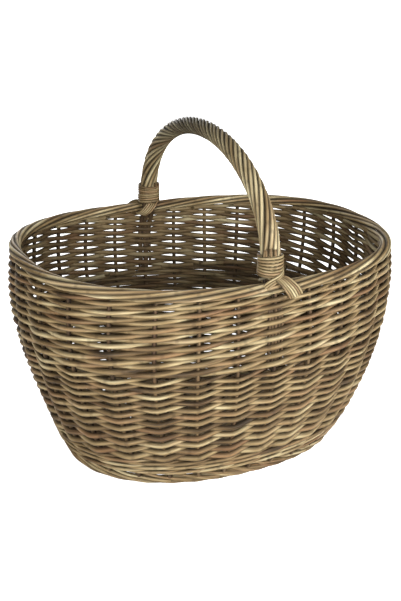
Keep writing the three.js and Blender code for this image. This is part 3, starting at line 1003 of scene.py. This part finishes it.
@dataclass
class Foot:
    """The rolled foot ring that the basket stands on, with the rods that slant down on to it."""

    wall: WallForm
    height: float = 11.0
    strands: int = 4
    strand_radius: float = 2.6
    strand_swelling: float = 0.03
    swelling_rate: float = 1.7
    strand_darkest: float = 0.45
    strand_paleness: float = 0.55
    twist_stakes: float = 3.5
    slant_span: Range = (-0.25, 1.9)
    slant_jitter: Range = (-0.12, 0.12)
    slant_start: float = -0.1
    slant_stakes: float = 0.95
    slant_stakes_range: Range = (-0.15, 0.15)
    slant_top: float = 20.5
    slant_radius: float = 1.9
    slant_radius_range: Range = (0.9, 1.1)
    slant_taper: Range = (1.1, 0.8)
    slant_points: int = 22
    slant_offset: float = 1.5
    slant_standoff: float = 0.8
    slant_darkest: float = 0.2
    slant_paleness: float = 0.8
    tuck_span: Range = (0.9, 1.9)
    tuck_angles: Range = (75.0, -10.0)
    # Strength of the painted shade where the foot's rods touch
    crevice: float = 0.8
    steps_per_stake: int = 8
    seed: int = 31

    def build(self, material: bpy.types.Material) -> None:
        """Twists the strands of the ring and lays the slanting rods.

        Args:
            material: Finish of the rods.
        """
        bundle = RodBundle("foot_ring")
        rng = random.Random(self.seed)
        count = self.wall.stakes * self.steps_per_stake
        turn = np.arange(count) / self.steps_per_stake
        ring_height = np.full(count, self.height / 2)
        middle = self.wall.point(turn, ring_height)
        outs = self.wall.outward(turn, ring_height)
        reach = self.height / 2 - self.strand_radius
        for strand in range(self.strands):
            angle = 2 * math.pi * (strand / self.strands - turn / self.twist_stakes)
            ways = outs * np.cos(angle)[:, None]
            ways[:, 2] = np.sin(angle)
            swell = self.strand_swelling * np.sin(turn * self.swelling_rate + strand)
            bundle.add(
                middle + ways * reach,
                ways,
                self.strand_radius * (1 + swell),
                shade=self.strand_darkest + self.strand_paleness * rng.random(),
                facing=False,
                crevice=self.crevice,
                closed=True,
            )
        for station in range(self.wall.stakes):
            self._lay_down(bundle, station, rng)
        bundle.build(material, WEAVING_WILLOW.slot, "foot_border")

    def _lay_down(self, bundle: RodBundle, station: int, rng: random.Random) -> None:
        """Slants one rod from under the waling down on to the ring.

        Args:
            bundle: The bundle that takes the rod.
            station: Stake that the rod starts beside.
            rng: Source of the small differences between rods.
        """
        turn = np.linspace(*self.slant_span, self.slant_points)
        turn = turn + rng.uniform(*self.slant_jitter)
        stakes = self.slant_stakes + rng.uniform(*self.slant_stakes_range)
        drop = np.clip((turn - self.slant_start) / stakes, 0, 1)
        drop = drop * drop * (3 - 2 * drop)
        angle = np.radians(np.interp(turn, self.tuck_span, self.tuck_angles))
        reach = self.height / 2 - self.strand_radius + self.slant_standoff
        ring_height = self.height / 2 + reach * np.sin(angle)
        height = self.slant_top + (ring_height - self.slant_top) * drop
        offset = self.slant_offset + (reach * np.cos(angle) - self.slant_offset) * drop
        place = station + turn
        radius = self.slant_radius * rng.uniform(*self.slant_radius_range)
        radius = radius * np.linspace(*self.slant_taper, len(turn))
        bundle.add(
            smooth(self.wall.point(place, height, offset)),
            self.wall.outward(place, height),
            radius,
            shade=self.slant_darkest + self.slant_paleness * rng.random(),
            facing=False,
            crevice=self.crevice,
        )


@dataclass
class Base:
    """The woven oval base: rounds of rods in and out of straight base sticks."""

    wall: WallForm
    height: float = 15.0
    thickness: float = 5.0
    crown: float = 6.0
    seat_height: float = 22.0
    edge_inset: float = 15.8
    edge_reach: float = 3.6
    rounds: int = 26
    round_points: int = 220
    core_margin: float = 6.0
    core_rows: int = 9
    core_points: int = 60
    core_overlap: float = 0.93
    rod_radius: float = 2.35
    rod_radius_range: Range = (0.95, 1.1)
    weave_reach: float = 1.9
    paleness: float = 0.8
    long_sticks: int = 3
    long_spacing: float = 14.0
    long_radius: float = 3.0
    short_sticks: int = 7
    short_spacing: float = 44.0
    short_radius: float = 2.5
    stick_gap: float = 0.3
    stick_radius_range: Range = (0.94, 1.0)
    stick_points: int = 40
    stick_paleness: float = 0.9
    weave_seed: int = 41
    stick_seed: int = 43

    def __post_init__(self) -> None:
        """Takes the panel's outline from the inside of the wall."""
        half_length, half_width, square = self.wall.oval(np.array([self.seat_height]))
        self.half_length = float(half_length[0]) - self.edge_inset
        self.half_width = float(half_width[0]) - self.edge_inset
        self.square = float(square[0])

    def _crown(self, x: Array, y: Array) -> Array:
        """Rise of the panel towards its middle.

        Args:
            x: X of each point.
            y: Y of each point.

        Returns:
            The rise.
        """
        reach = (x / (self.half_length + self.edge_inset)) ** 2
        reach = reach + (y / (self.half_width + self.edge_inset)) ** 2
        return self.crown * (1 - np.minimum(reach, 1))

    def _woven_points(self, x: Array, y: Array, row: int) -> Array:
        """Points of one rod that runs over and under the short sticks.

        Args:
            x: X of each point.
            y: Y of each point.
            row: Number of the rod. Odd and even rods cross each stick on opposite sides.

        Returns:
            The points.
        """
        wave = self.weave_reach * np.cos(math.pi * (x / self.short_spacing + row))
        z = self.height + self.thickness / 2 + self._crown(x, y) + wave
        return np.stack([x, y, z], axis=1)

    def build(self, weave_finish: bpy.types.Material, stick_finish: bpy.types.Material) -> None:
        """Weaves the rounds and the rows in their middle, and makes the sticks.

        Args:
            weave_finish: Finish of the woven rods.
            stick_finish: Finish of the sticks.
        """
        rng = random.Random(self.weave_seed)
        up = np.array([[0.0, 0.0, 1.0]])
        weave = RodBundle("base_weaving")
        inner_width = self.long_spacing + self.core_margin
        outer_width = self.half_width + self.edge_reach
        outer_length = self.half_length + self.edge_reach
        bearing = 2 * math.pi * np.arange(self.round_points) / self.round_points
        cosine, sine, power = np.cos(bearing), np.sin(bearing), 2 / self.square
        outs = np.repeat(up, self.round_points, axis=0)
        for number in range(self.rounds):
            share = (number + 0.5) / self.rounds
            width = inner_width + (outer_width - inner_width) * share
            length = outer_length - (outer_width - width)
            x = length * np.sign(cosine) * np.abs(cosine) ** power
            y = width * np.sign(sine) * np.abs(sine) ** power
            points = self._woven_points(x, y, number)
            radius = self.rod_radius * rng.uniform(*self.rod_radius_range)
            weave.add(points, outs, radius, shade=rng.random() * self.paleness, closed=True)
        core_length = self.half_length - self.half_width + inner_width * self.core_overlap
        x = np.linspace(-1, 1, self.core_points) * core_length
        outs = np.repeat(up, self.core_points, axis=0)
        for number in range(self.core_rows):
            row = number - self.core_rows // 2
            y = np.full(self.core_points, row * inner_width / (self.core_rows // 2 + 1))
            points = self._woven_points(x, y, row)
            weave.add(points, outs, self.rod_radius, shade=rng.random() * self.paleness)
        weave.build(weave_finish, WEAVING_WILLOW.slot, "base_weave")
        self._sticks(stick_finish)

    def _sticks(self, finish: bpy.types.Material) -> None:
        """Lays the long sticks under the panel and the short ones over it.

        Args:
            finish: Finish of the sticks.
        """
        rng = random.Random(self.stick_seed)
        outs = np.repeat(np.array([[0.0, 0.0, 1.0]]), self.stick_points, axis=0)
        for across in (False, True):
            kind = "short" if across else "long"
            count = self.short_sticks if across else self.long_sticks
            spacing = self.short_spacing if across else self.long_spacing
            radius = self.short_radius if across else self.long_radius
            along = self.half_width if across else self.half_length
            sideways = self.half_length if across else self.half_width
            below, above = -self.stick_gap - radius, self.thickness + self.stick_gap + radius
            face = above if across else below
            for number in range(count):
                offset = (number - (count - 1) / 2) * spacing
                chord = (1 - abs(offset / sideways) ** self.square) ** (1 / self.square)
                reach = along * chord - 2 * radius
                run = np.linspace(-reach, reach, self.stick_points)
                still = np.full(self.stick_points, offset)
                x, y = (still, run) if across else (run, still)
                z = self.height + self._crown(x, y) + face
                stick = RodBundle(f"base_{kind}_rod_{number + 1}")
                stick.add(
                    np.stack([x, y, z], axis=1),
                    outs,
                    radius * rng.uniform(*self.stick_radius_range),
                    shade=rng.random() * self.stick_paleness,
                    facing=False,
                )
                stick.build(finish, STAKE_WILLOW.slot, f"base_{kind}_stick_{number + 1}")


# Handle


@dataclass
class Bow:
    """The bow handle: a bent core rod, roped with long twisted rods and bound at both feet."""

    wall: WallForm
    half_span: float = 172.5
    spring_height: float = 283.0
    rise: float = 120.0
    core_radius: float = 6.25
    core_bottom: float = 245.0
    core_below_wrap: float = 6.0
    core_points: int = 90
    core_shade: float = 0.3
    rim_reach: float = 170.2
    bend_start: float = 255.0
    bend_height: float = 28.0
    bend_power: float = 1.5
    arch_points: int = 700
    low_points: int = 40
    roundings: int = 30
    look_ahead: float = 1.5
    leg_shifts: tuple[float, ...] = (-8.0, -4.2, 0.0, 4.0, 8.2)
    leg_radius: float = 2.1
    leg_taper: Range = (0.85, 1.1)
    leg_bottom: float = 166.0
    leg_bottom_range: Range = (-2.0, 6.0)
    leg_heights: tuple[float, ...] = (232.0, 243.0, 252.0, 260.0, 268.0, 276.0)
    leg_insides: tuple[float, ...] = (0.0, 5.0, 9.5, 11.5, 12.0, 10.5)
    leg_gather_heights: Range = (236.0, 268.0)
    leg_gather: Range = (1.0, 0.85)
    leg_wander: float = 0.7
    leg_wave: float = 24.0
    leg_darkest: float = 0.05
    leg_paleness: float = 0.4
    leg_points: int = 18
    rods: int = 11
    rod_points: int = 260
    rod_overrun: float = 4.0
    rod_wander: float = 0.05
    rod_wave: float = 60.0
    rod_radius_range: Range = (1.02, 1.12)
    radius_at_top: float = 10.3
    radius_at_foot: float = 11.9
    slow_twist: float = 0.019
    fast_twist: float = 0.043
    fast_length: float = 135.0
    # Painted shade over the top of the bow, shifted towards the far foot: strength, width and shift
    grip_shade_strength: float = 0.8
    grip_length: float = 100.0
    grip_shift: float = 28.0
    darkest: float = 0.63
    paleness: float = 0.8
    # Strength of the painted shade where the roping's rods touch
    crevice: float = 1.1
    wrap_bottom: float = 275.0
    wrap_turns: float = 7.6
    wrap_pitch: float = 3.1
    wrap_radius: float = 1.6
    wrap_drop: float = 4.5
    wrap_start: float = 1.1
    wrap_sink: float = 0.1
    wrap_ripple: float = 0.12
    wrap_ripples_per_turn: int = 3
    wrap_shade: float = 0.5
    wrap_steps_per_turn: int = 22
    end_above_wrap: float = 20.0
    near_end_angles: tuple[float, ...] = (-0.85, -0.45, -0.08)
    far_end_angles: tuple[float, ...] = (math.pi - 0.75, math.pi - 0.35)
    end_length: float = 6.5
    end_lengthening: float = 1.3
    end_radius: float = 2.0
    end_standoff: float = 0.9
    end_spread: float = 0.5
    end_shade: float = 0.15
    end_points: int = 6
    leg_seed: int = 51
    rod_seed: int = 53

    def __post_init__(self) -> None:
        """Lays out the centre line by length, up the near leg and down the far one."""
        turn = np.linspace(0, math.pi, self.arch_points)
        arch_y = -self.half_span * np.cos(turn)
        arch_z = self.spring_height + self.rise * np.sin(turn)
        low_z = np.linspace(self.core_bottom, self.spring_height, self.low_points)[:-1]
        bend = np.clip((low_z - self.bend_start) / self.bend_height, 0, 1) ** self.bend_power
        low_y = self.rim_reach + (self.half_span - self.rim_reach) * bend
        y = np.concatenate([-low_y, arch_y, low_y[::-1]])
        z = np.concatenate([low_z, arch_z, low_z[::-1]])
        self.path = smooth(np.stack([np.zeros(len(y)), y, z], axis=1), self.roundings)
        steps = np.linalg.norm(np.diff(self.path, axis=0), axis=1)
        self.run = np.concatenate([[0.0], np.cumsum(steps)])

    @property
    def length(self) -> float:
        """Length of the whole centre line."""
        return float(self.run[-1])

    def at(self, run: Array) -> tuple[Array, Array]:
        """Points of the centre line.

        Args:
            run: Lengths along the bow.

        Returns:
            Point and direction at each.
        """
        point = interpolated(run, self.run, self.path)
        ahead = interpolated(run + self.look_ahead, self.run, self.path)
        behind = interpolated(run - self.look_ahead, self.run, self.path)
        return point, unit(ahead - behind)

    def run_at_height(self, height: float) -> float:
        """Length along the bow at which the near leg reaches a height."""
        rising = self.path[: len(self.path) // 2]
        return float(np.interp(height, rising[:, 2], self.run[: len(rising)]))

    def ring(self, run: Array, angle: Array, radius: Array | float) -> tuple[Array, Array]:
        """Points on rings round the bow.

        Args:
            run: Length along the bow of each point.
            angle: Angle round it.
            radius: Distance from the centre line.

        Returns:
            Points, and the way out at each.
        """
        centre, along = self.at(run)
        x_axis = np.repeat(np.array([[1.0, 0.0, 0.0]]), len(run), axis=0)
        side = np.cross(x_axis, along)
        ways = side * np.cos(angle)[:, None] + x_axis * np.sin(angle)[:, None]
        return centre + ways * np.broadcast_to(radius, (len(run),))[:, None], ways

    def outer_radius(self, run: Array) -> Array:
        """Radius over the roping at lengths along the bow."""
        from_top = np.abs(2 * run / self.length - 1)
        return self.radius_at_top + (self.radius_at_foot - self.radius_at_top) * from_top**2

    def build_core(self, finish: bpy.types.Material) -> None:
        """Makes the core and the thin rods that go down beside the handle stakes.

        Args:
            finish: Finish of the rods.
        """
        rng = random.Random(self.leg_seed)
        bundle = RodBundle("handle_core", sides=12)
        first = self.run_at_height(self.wrap_bottom - self.core_below_wrap)
        run = np.linspace(first, self.length - first, self.core_points)
        points, _ = self.at(run)
        outs = np.repeat(np.array([[1.0, 0.0, 0.0]]), len(run), axis=0)
        bundle.add(
            points, outs, self.core_radius, shade=self.core_shade, facing=False, crevice=0.0
        )
        for side in Side:
            for shift in self.leg_shifts:
                self._add_leg_rod(bundle, side, shift, rng)
        bundle.build(finish, STAKE_WILLOW.slot, "handle_bow")

    def _add_leg_rod(
        self, bundle: RodBundle, side: Side, shift: float, rng: random.Random
    ) -> None:
        """Takes one thin rod from under the binding down inside the border and into the wall.

        Args:
            bundle: The bundle that takes the rod.
            side: The foot.
            shift: Distance of the rod from the middle of the foot, along the rim.
            rng: Source of the small differences between rods.
        """
        bottom = self.leg_bottom + rng.uniform(*self.leg_bottom_range)
        low = np.linspace(bottom, self.leg_heights[0], self.leg_points)
        height = np.concatenate([low, self.leg_heights[1:]])
        wall = self.wall.point(np.full(len(height), side.station), height)
        inside = np.interp(height, self.leg_heights, self.leg_insides)
        y = wall[:, 1] - side.value * inside
        gather = np.interp(height, self.leg_gather_heights, self.leg_gather)
        wave = np.sin(height / self.leg_wave + rng.uniform(*PHASES))
        x = shift * gather + self.leg_wander * wave
        points = np.stack([x, y, height], axis=1)
        outs = np.repeat(np.array([[0.0, float(side.value), 0.0]]), len(height), axis=0)
        radius = self.leg_radius * np.linspace(*self.leg_taper, len(height))
        tone = self.leg_darkest + self.leg_paleness * rng.random()
        bundle.add(smooth(points, 2), outs, radius, shade=tone)

    def build_roping(self, finish: bpy.types.Material) -> None:
        """Twists the roping round the core, fastest over the top.

        Args:
            finish: Finish of the rods.
        """
        rng = random.Random(self.rod_seed)
        bundle = RodBundle("handle_roping_rods")
        first = self.run_at_height(self.wrap_bottom) - self.rod_overrun
        run = np.linspace(first, self.length - first, self.rod_points)
        from_middle = run - self.length / 2
        peak = np.exp(-((from_middle / self.fast_length) ** 2))
        speed = self.slow_twist + self.fast_twist * peak
        turned = (speed[1:] + speed[:-1]) / 2 * np.diff(run)
        twist = np.concatenate([[0.0], np.cumsum(turned)])
        rod_radius = (self.outer_radius(run) - self.core_radius) / 2
        # Painted shade over the top of the bow, shifted towards the far foot
        near_grip = ((from_middle - self.grip_shift) / self.grip_length) ** 2
        grip = self.grip_shade_strength * np.exp(-near_grip)
        for rod in range(self.rods):
            angle = twist + 2 * math.pi * rod / self.rods
            wave = np.sin(run / self.rod_wave + rng.uniform(*PHASES))
            angle = angle + self.rod_wander * wave
            points, ways = self.ring(run, angle, self.core_radius + rod_radius)
            bundle.add(
                points,
                ways,
                rod_radius * rng.uniform(*self.rod_radius_range),
                shade=self.darkest + self.paleness * rng.random(),
                facing=False,
                crevice=self.crevice,
                worn=grip,
            )
        self._add_cut_ends(bundle, Side.NEAR)
        self._add_cut_ends(bundle, Side.FAR)
        bundle.build(finish, PALE_WILLOW.slot, "handle_roping")

    def _add_cut_ends(self, bundle: RodBundle, side: Side) -> None:
        """Lets a few cut ends of the roping stand out over the binding.

        Args:
            bundle: The bundle that takes the ends.
            side: The foot.
        """
        base = self.run_at_height(self.wrap_bottom) + self.end_above_wrap
        angles = self.near_end_angles if side is Side.NEAR else self.far_end_angles
        for number, angle in enumerate(angles):
            odd = number % 2
            length = self.end_length + self.end_lengthening * odd
            run = np.linspace(base, base + length, self.end_points)
            if side is Side.FAR:
                run = self.length - run
            reach = self.radius_at_foot + self.end_standoff + self.end_spread * odd
            points, ways = self.ring(run, np.full(len(run), angle), reach)
            bundle.add(points, ways, self.end_radius, shade=self.end_shade, facing=False)

    def build_wrap(self, side: Side, finish: bpy.types.Material) -> None:
        """Winds the binding round one foot of the handle.

        Args:
            side: The foot.
            finish: Finish of the rod.
        """
        bundle = RodBundle(f"{side.name.lower()}_foot_wrap")
        count = int(self.wrap_turns * self.wrap_steps_per_turn)
        wound = np.linspace(0, self.wrap_turns, count)
        first = self.run_at_height(self.wrap_bottom) + self.wrap_radius - self.wrap_drop
        run = first + wound * self.wrap_pitch
        angle = 2 * math.pi * wound + self.wrap_start
        if side is Side.FAR:
            run = self.length - run
            angle = -angle
        ripple = self.wrap_ripple * np.sin(angle * self.wrap_ripples_per_turn)
        reach = self.radius_at_foot + self.wrap_radius - self.wrap_sink + ripple
        points, ways = self.ring(run, angle, reach)
        bundle.add(points, ways, self.wrap_radius, shade=self.wrap_shade, facing=False)
        bundle.build(finish, PALE_WILLOW.slot, f"handle_wrap_{side.name.lower()}")


@dataclass(frozen=True)
class BorderBand:
    """Path of one band of rods over the border, given at a few even places along it.

    The angles go round the border's roll, where 0 faces out and 90 faces up. The slides run
    along the rim from the handle, and the lifts stand over the roll.
    """

    angles: tuple[float, ...]
    slides: tuple[float, ...]
    lifts: tuple[float, ...]


OUTER_BAND = BorderBand((105, 70, 20, -15, -50), (3, 7, 13, 18, 23), (2.2, 1.2, 0.5, 1.4, 4.6))
INNER_BAND = BorderBand(
    (118, 140, 165, 190, 228), (-11, -6, 0, 7, 13), (3.0, 6.5, 7.8, 6.5, 0.5)
)


@dataclass
class Lashing:
    """Flat bands of parallel rods that bind one foot of the handle down over the border."""

    wall: WallForm
    side: Side
    rod_radius: float = 1.5
    spacing: float = 2.8
    standoff: float = 9.0
    outer_rods: int = 6
    inner_rods: int = 5
    round_rods: int = 3
    band_points: int = 24
    round_points: int = 26
    foot_middle: float = 171.0
    round_knots: tuple[tuple[float, float, float], ...] = (
        (13.0, -178.0, 276.5),
        (8.0, -185.0, 273.5),
        (1.0, -187.5, 270.5),
        (-6.0, -188.5, 268.5),
        (-12.0, -189.5, 266.0),
        (-16.0, -189.0, 262.0),
    )
    darkest: float = 0.4
    paleness: float = 0.45
    seed: int = 60
    seed_step: int = 3

    def _over_border(self, band: BorderBand) -> tuple[Array, Array]:
        """Path round the border's roll.

        Args:
            band: Where the path lies.

        Returns:
            Points, and the way out at each.
        """
        station, rim = self.side.station, self.wall.rim_height
        pair = self.wall.point(np.array([station, station + 1]), np.array([rim, rim]))
        stake_spacing = float(np.linalg.norm(pair[1] - pair[0]))
        share = np.linspace(0, 1, len(band.angles))
        fine = np.linspace(0, 1, self.band_points)
        level = np.full(self.band_points, rim)
        angle = np.radians(np.interp(fine, share, band.angles))
        place = station + np.interp(fine, share, band.slides) / stake_spacing
        outs = self.wall.outward(place, level) * np.cos(angle)[:, None]
        outs[:, 2] = np.sin(angle)
        middle = self.wall.point(place, level)
        middle[:, 2] = self.wall.rim(place)
        reach = self.standoff + np.interp(fine, share, band.lifts)
        return smooth(middle + outs * reach[:, None], 3), outs

    def _round_foot(self) -> tuple[Array, Array]:
        """Path that slants down round the front of the handle's foot.

        Returns:
            Points, and the way out at each.
        """
        knots = np.array(self.round_knots)
        if self.side is Side.FAR:
            knots = knots * np.array([-1.0, -1.0, 1.0])
        fine = np.linspace(0, len(knots) - 1, self.round_points)
        path = smooth(interpolated(fine, np.arange(len(knots)), knots), 6)
        outs = np.zeros_like(path)
        outs[:, :2] = path[:, :2] - np.array([0.0, self.side.value * self.foot_middle])
        return path, unit(outs)

    def _add_band(
        self,
        bundle: RodBundle,
        path: tuple[Array, Array],
        rods: int,
        rng: random.Random,
    ) -> None:
        """Lays parallel rods along a path.

        Args:
            bundle: The bundle that takes the rods.
            path: Points of the band's middle, and the way out at each.
            rods: How many rods lie side by side.
            rng: Source of the small differences between rods.
        """
        centre, outs = path
        sideways = np.cross(outs, unit(np.gradient(centre, axis=0)))
        sideways = unit(smooth(sideways, 4))
        for rod in range(rods):
            shift = (rod - (rods - 1) / 2) * self.spacing
            first, last = rng.randint(0, 1), len(centre) - rng.randint(0, 1)
            points = (centre + sideways * shift)[first:last]
            tone = self.darkest + self.paleness * rng.random()
            bundle.add(points, outs[first:last], self.rod_radius, shade=tone, facing=False)

    def build(self, finish: bpy.types.Material) -> None:
        """Lays the bands of the foot.

        Args:
            finish: Finish of the rods.
        """
        label = self.side.name.lower()
        rng = random.Random(self.seed + self.seed_step * self.side.value)
        over = RodBundle(f"{label}_lashing_over")
        self._add_band(over, self._over_border(OUTER_BAND), self.outer_rods, rng)
        over.build(finish, PALE_WILLOW.slot, f"handle_lashing_{label}_over")
        under = RodBundle(f"{label}_lashing_under")
        self._add_band(under, self._round_foot(), self.round_rods, rng)
        self._add_band(under, self._over_border(INNER_BAND), self.inner_rods, rng)
        under.build(finish, PALE_WILLOW.slot, f"handle_lashing_{label}_under")


# Studio


@dataclass(frozen=True)
class SoftLight:
    """One square light that faces the basket, in metres and watts."""

    name: str
    place: tuple[float, float, float]
    power: float
    size: float


SOFT_LIGHTS = (
    SoftLight("left", (-1.03, -1.08, 0.62), power=19.5, size=0.4),
    SoftLight("right", (0.64, -1.28, 0.62), power=20.0, size=0.4),
    SoftLight("back", (0.2, 1.8, 0.8), power=20.0, size=1.2),
    SoftLight("top", (-0.1, -0.35, 2.1), power=4.0, size=0.8),
)


@dataclass
class Studio:
    """Pale floor, soft light and the camera. Distances are in metres and angles in degrees."""

    target: tuple[float, float, float] = (0.0, 0.0, 0.15)
    azimuth: float = -25.9
    elevation: float = 21.9
    distance: float = 1.2945
    focal_pixels: float = 999.2
    roll: float = 0.7
    shift_pixels: tuple[float, float] = (0.82, 23.21)
    frame_height: int = 601
    sensor: float = 36.0
    floor_size: float = 12.0
    floor_dark: float = 0.93
    floor_pale: float = 0.96
    floor_noise: float = 3.0
    floor_glow: float = 0.95
    floor_roughness: float = 0.9
    surroundings: float = 0.18
    backdrop: float = 1.1

    def build_camera(self) -> None:
        """Places the camera and makes it the scene's own."""
        turn, tilt, roll = (math.radians(a) for a in (self.azimuth, self.elevation, self.roll))
        level = math.cos(tilt)
        back = Vector((math.sin(turn) * level, -math.cos(turn) * level, math.sin(tilt)))
        right = Vector((math.cos(turn), math.sin(turn), 0.0))
        up = back.cross(right)
        rolled_right = right * math.cos(roll) + up * math.sin(roll)
        rolled_up = up * math.cos(roll) - right * math.sin(roll)
        data = bpy.data.cameras.new("camera")
        data.sensor_width = self.sensor
        data.lens = self.focal_pixels / self.frame_height * self.sensor
        data.shift_x = -self.shift_pixels[0] / self.frame_height
        data.shift_y = self.shift_pixels[1] / self.frame_height
        camera = bpy.data.objects.new("camera", data)
        basis = Matrix((rolled_right, rolled_up, back)).transposed().to_4x4()
        place = Vector(self.target) + back * self.distance
        camera.matrix_world = Matrix.Translation(place) @ basis
        bpy.context.scene.collection.objects.link(camera)
        bpy.context.scene.camera = camera

    def _floor_material(self) -> bpy.types.Material:
        """Builds the floor's finish, which glows for the camera and is clear from below.

        Returns:
            The material.
        """
        material = bpy.data.materials.new("pale_floor")
        material.use_nodes = True
        nodes, links = material.node_tree.nodes, material.node_tree.links
        surface = nodes["Principled BSDF"]
        surface.inputs["Roughness"].default_value = self.floor_roughness
        noise = nodes.new("ShaderNodeTexNoise")
        noise.inputs["Scale"].default_value = self.floor_noise
        ramp = nodes.new("ShaderNodeValToRGB")
        for stop, grey in zip(ramp.color_ramp.elements, (self.floor_dark, self.floor_pale)):
            stop.color = (grey, grey, grey, 1.0)
        links.new(noise.outputs["Fac"], ramp.inputs["Fac"])
        links.new(ramp.outputs["Color"], surface.inputs["Base Color"])
        glow = nodes.new("ShaderNodeMath")
        glow.operation = "MULTIPLY"
        glow.inputs[1].default_value = self.floor_glow
        seen = nodes.new("ShaderNodeLightPath")
        links.new(seen.outputs["Is Camera Ray"], glow.inputs[0])
        links.new(ramp.outputs["Color"], surface.inputs["Emission Color"])
        links.new(glow.outputs[0], surface.inputs["Emission Strength"])
        facing = nodes.new("ShaderNodeNewGeometry")
        clear = nodes.new("ShaderNodeBsdfTransparent")
        one_sided = nodes.new("ShaderNodeMixShader")
        links.new(facing.outputs["Backfacing"], one_sided.inputs["Fac"])
        links.new(surface.outputs[0], one_sided.inputs[1])
        links.new(clear.outputs[0], one_sided.inputs[2])
        links.new(one_sided.outputs[0], nodes["Material Output"].inputs["Surface"])
        return material

    def build_floor(self) -> None:
        """Lays the floor."""
        bpy.ops.object.select_all(action="DESELECT")
        bpy.ops.mesh.primitive_plane_add(size=self.floor_size, location=(0.0, 0.0, 0.0))
        floor = bpy.context.active_object
        floor.name = "floor"
        floor.data.materials.append(self._floor_material())

    def build_lights(self) -> None:
        """Hangs the soft lights and sets the pale surroundings."""
        for soft in SOFT_LIGHTS:
            data = bpy.data.lights.new(soft.name, "AREA")
            data.energy = soft.power
            data.size = soft.size
            light = bpy.data.objects.new(soft.name, data)
            way = Vector(self.target) - Vector(soft.place)
            turned = way.to_track_quat("-Z", "Y").to_matrix().to_4x4()
            light.matrix_world = Matrix.Translation(soft.place) @ turned
            bpy.context.scene.collection.objects.link(light)
        world = bpy.data.worlds.new("surroundings")
        world.use_nodes = True
        nodes, links = world.node_tree.nodes, world.node_tree.links
        lighting = nodes["Background"]
        lighting.inputs["Strength"].default_value = self.surroundings
        lighting.inputs["Color"].default_value = (1.0, 1.0, 1.0, 1.0)
        white = nodes.new("ShaderNodeBackground")
        white.inputs["Strength"].default_value = self.backdrop
        white.inputs["Color"].default_value = (1.0, 1.0, 1.0, 1.0)
        seen = nodes.new("ShaderNodeLightPath")
        chosen = nodes.new("ShaderNodeMixShader")
        links.new(seen.outputs["Is Camera Ray"], chosen.inputs["Fac"])
        links.new(lighting.outputs[0], chosen.inputs[1])
        links.new(white.outputs[0], chosen.inputs[2])
        links.new(chosen.outputs[0], nodes["World Output"].inputs["Surface"])
        bpy.context.scene.world = world
        bpy.context.scene.view_settings.view_transform = "Standard"


def main() -> None:
    """Builds the basket in the order in which it is woven, then the studio."""
    logging.basicConfig(level=logging.INFO, format="%(name)s: %(message)s")
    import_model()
    studio = Studio()
    studio.build_camera()
    finishes = WillowMaterials()
    weaving = finishes.make(WEAVING_WILLOW)
    stakes = finishes.make(STAKE_WILLOW)
    pale = finishes.make(PALE_WILLOW)
    wall = WallForm()

    Foot(wall).build(weaving)
    Base(wall).build(weaving, stakes)
    Upsett(wall).build(weaving)
    Siding(
        wall,
        name="lower_randing",
        nodes=("lower_siding",),
        bottom=46.5,
        top=168.5,
        rows=12,
        butt_radius=3.7,
        tip_radius=2.6,
        tightening=0.22,
        steep_share=0.98,
        paleness=0.8,
    ).build(weaving)
    Siding(
        wall,
        name="upper_randing",
        nodes=("upper_siding",),
        bottom=167.5,
        top=253.0,
        rows=9,
        butt_radius=3.35,
        tip_radius=2.75,
        tightening=0.14,
        steep_share=0.4,
        sinking=0.3,
        follow_rim=True,
        seed=18,
    ).build(weaving)
    StakesAndBorder(wall).build(stakes, weaving)

    bow = Bow(wall)
    bow.build_core(stakes)
    bow.build_roping(weaving)
    for side in Side:
        bow.build_wrap(side, pale)
        Lashing(wall, side).build(pale)

    studio.build_floor()
    studio.build_lights()


if __name__ == "__main__":
    main()
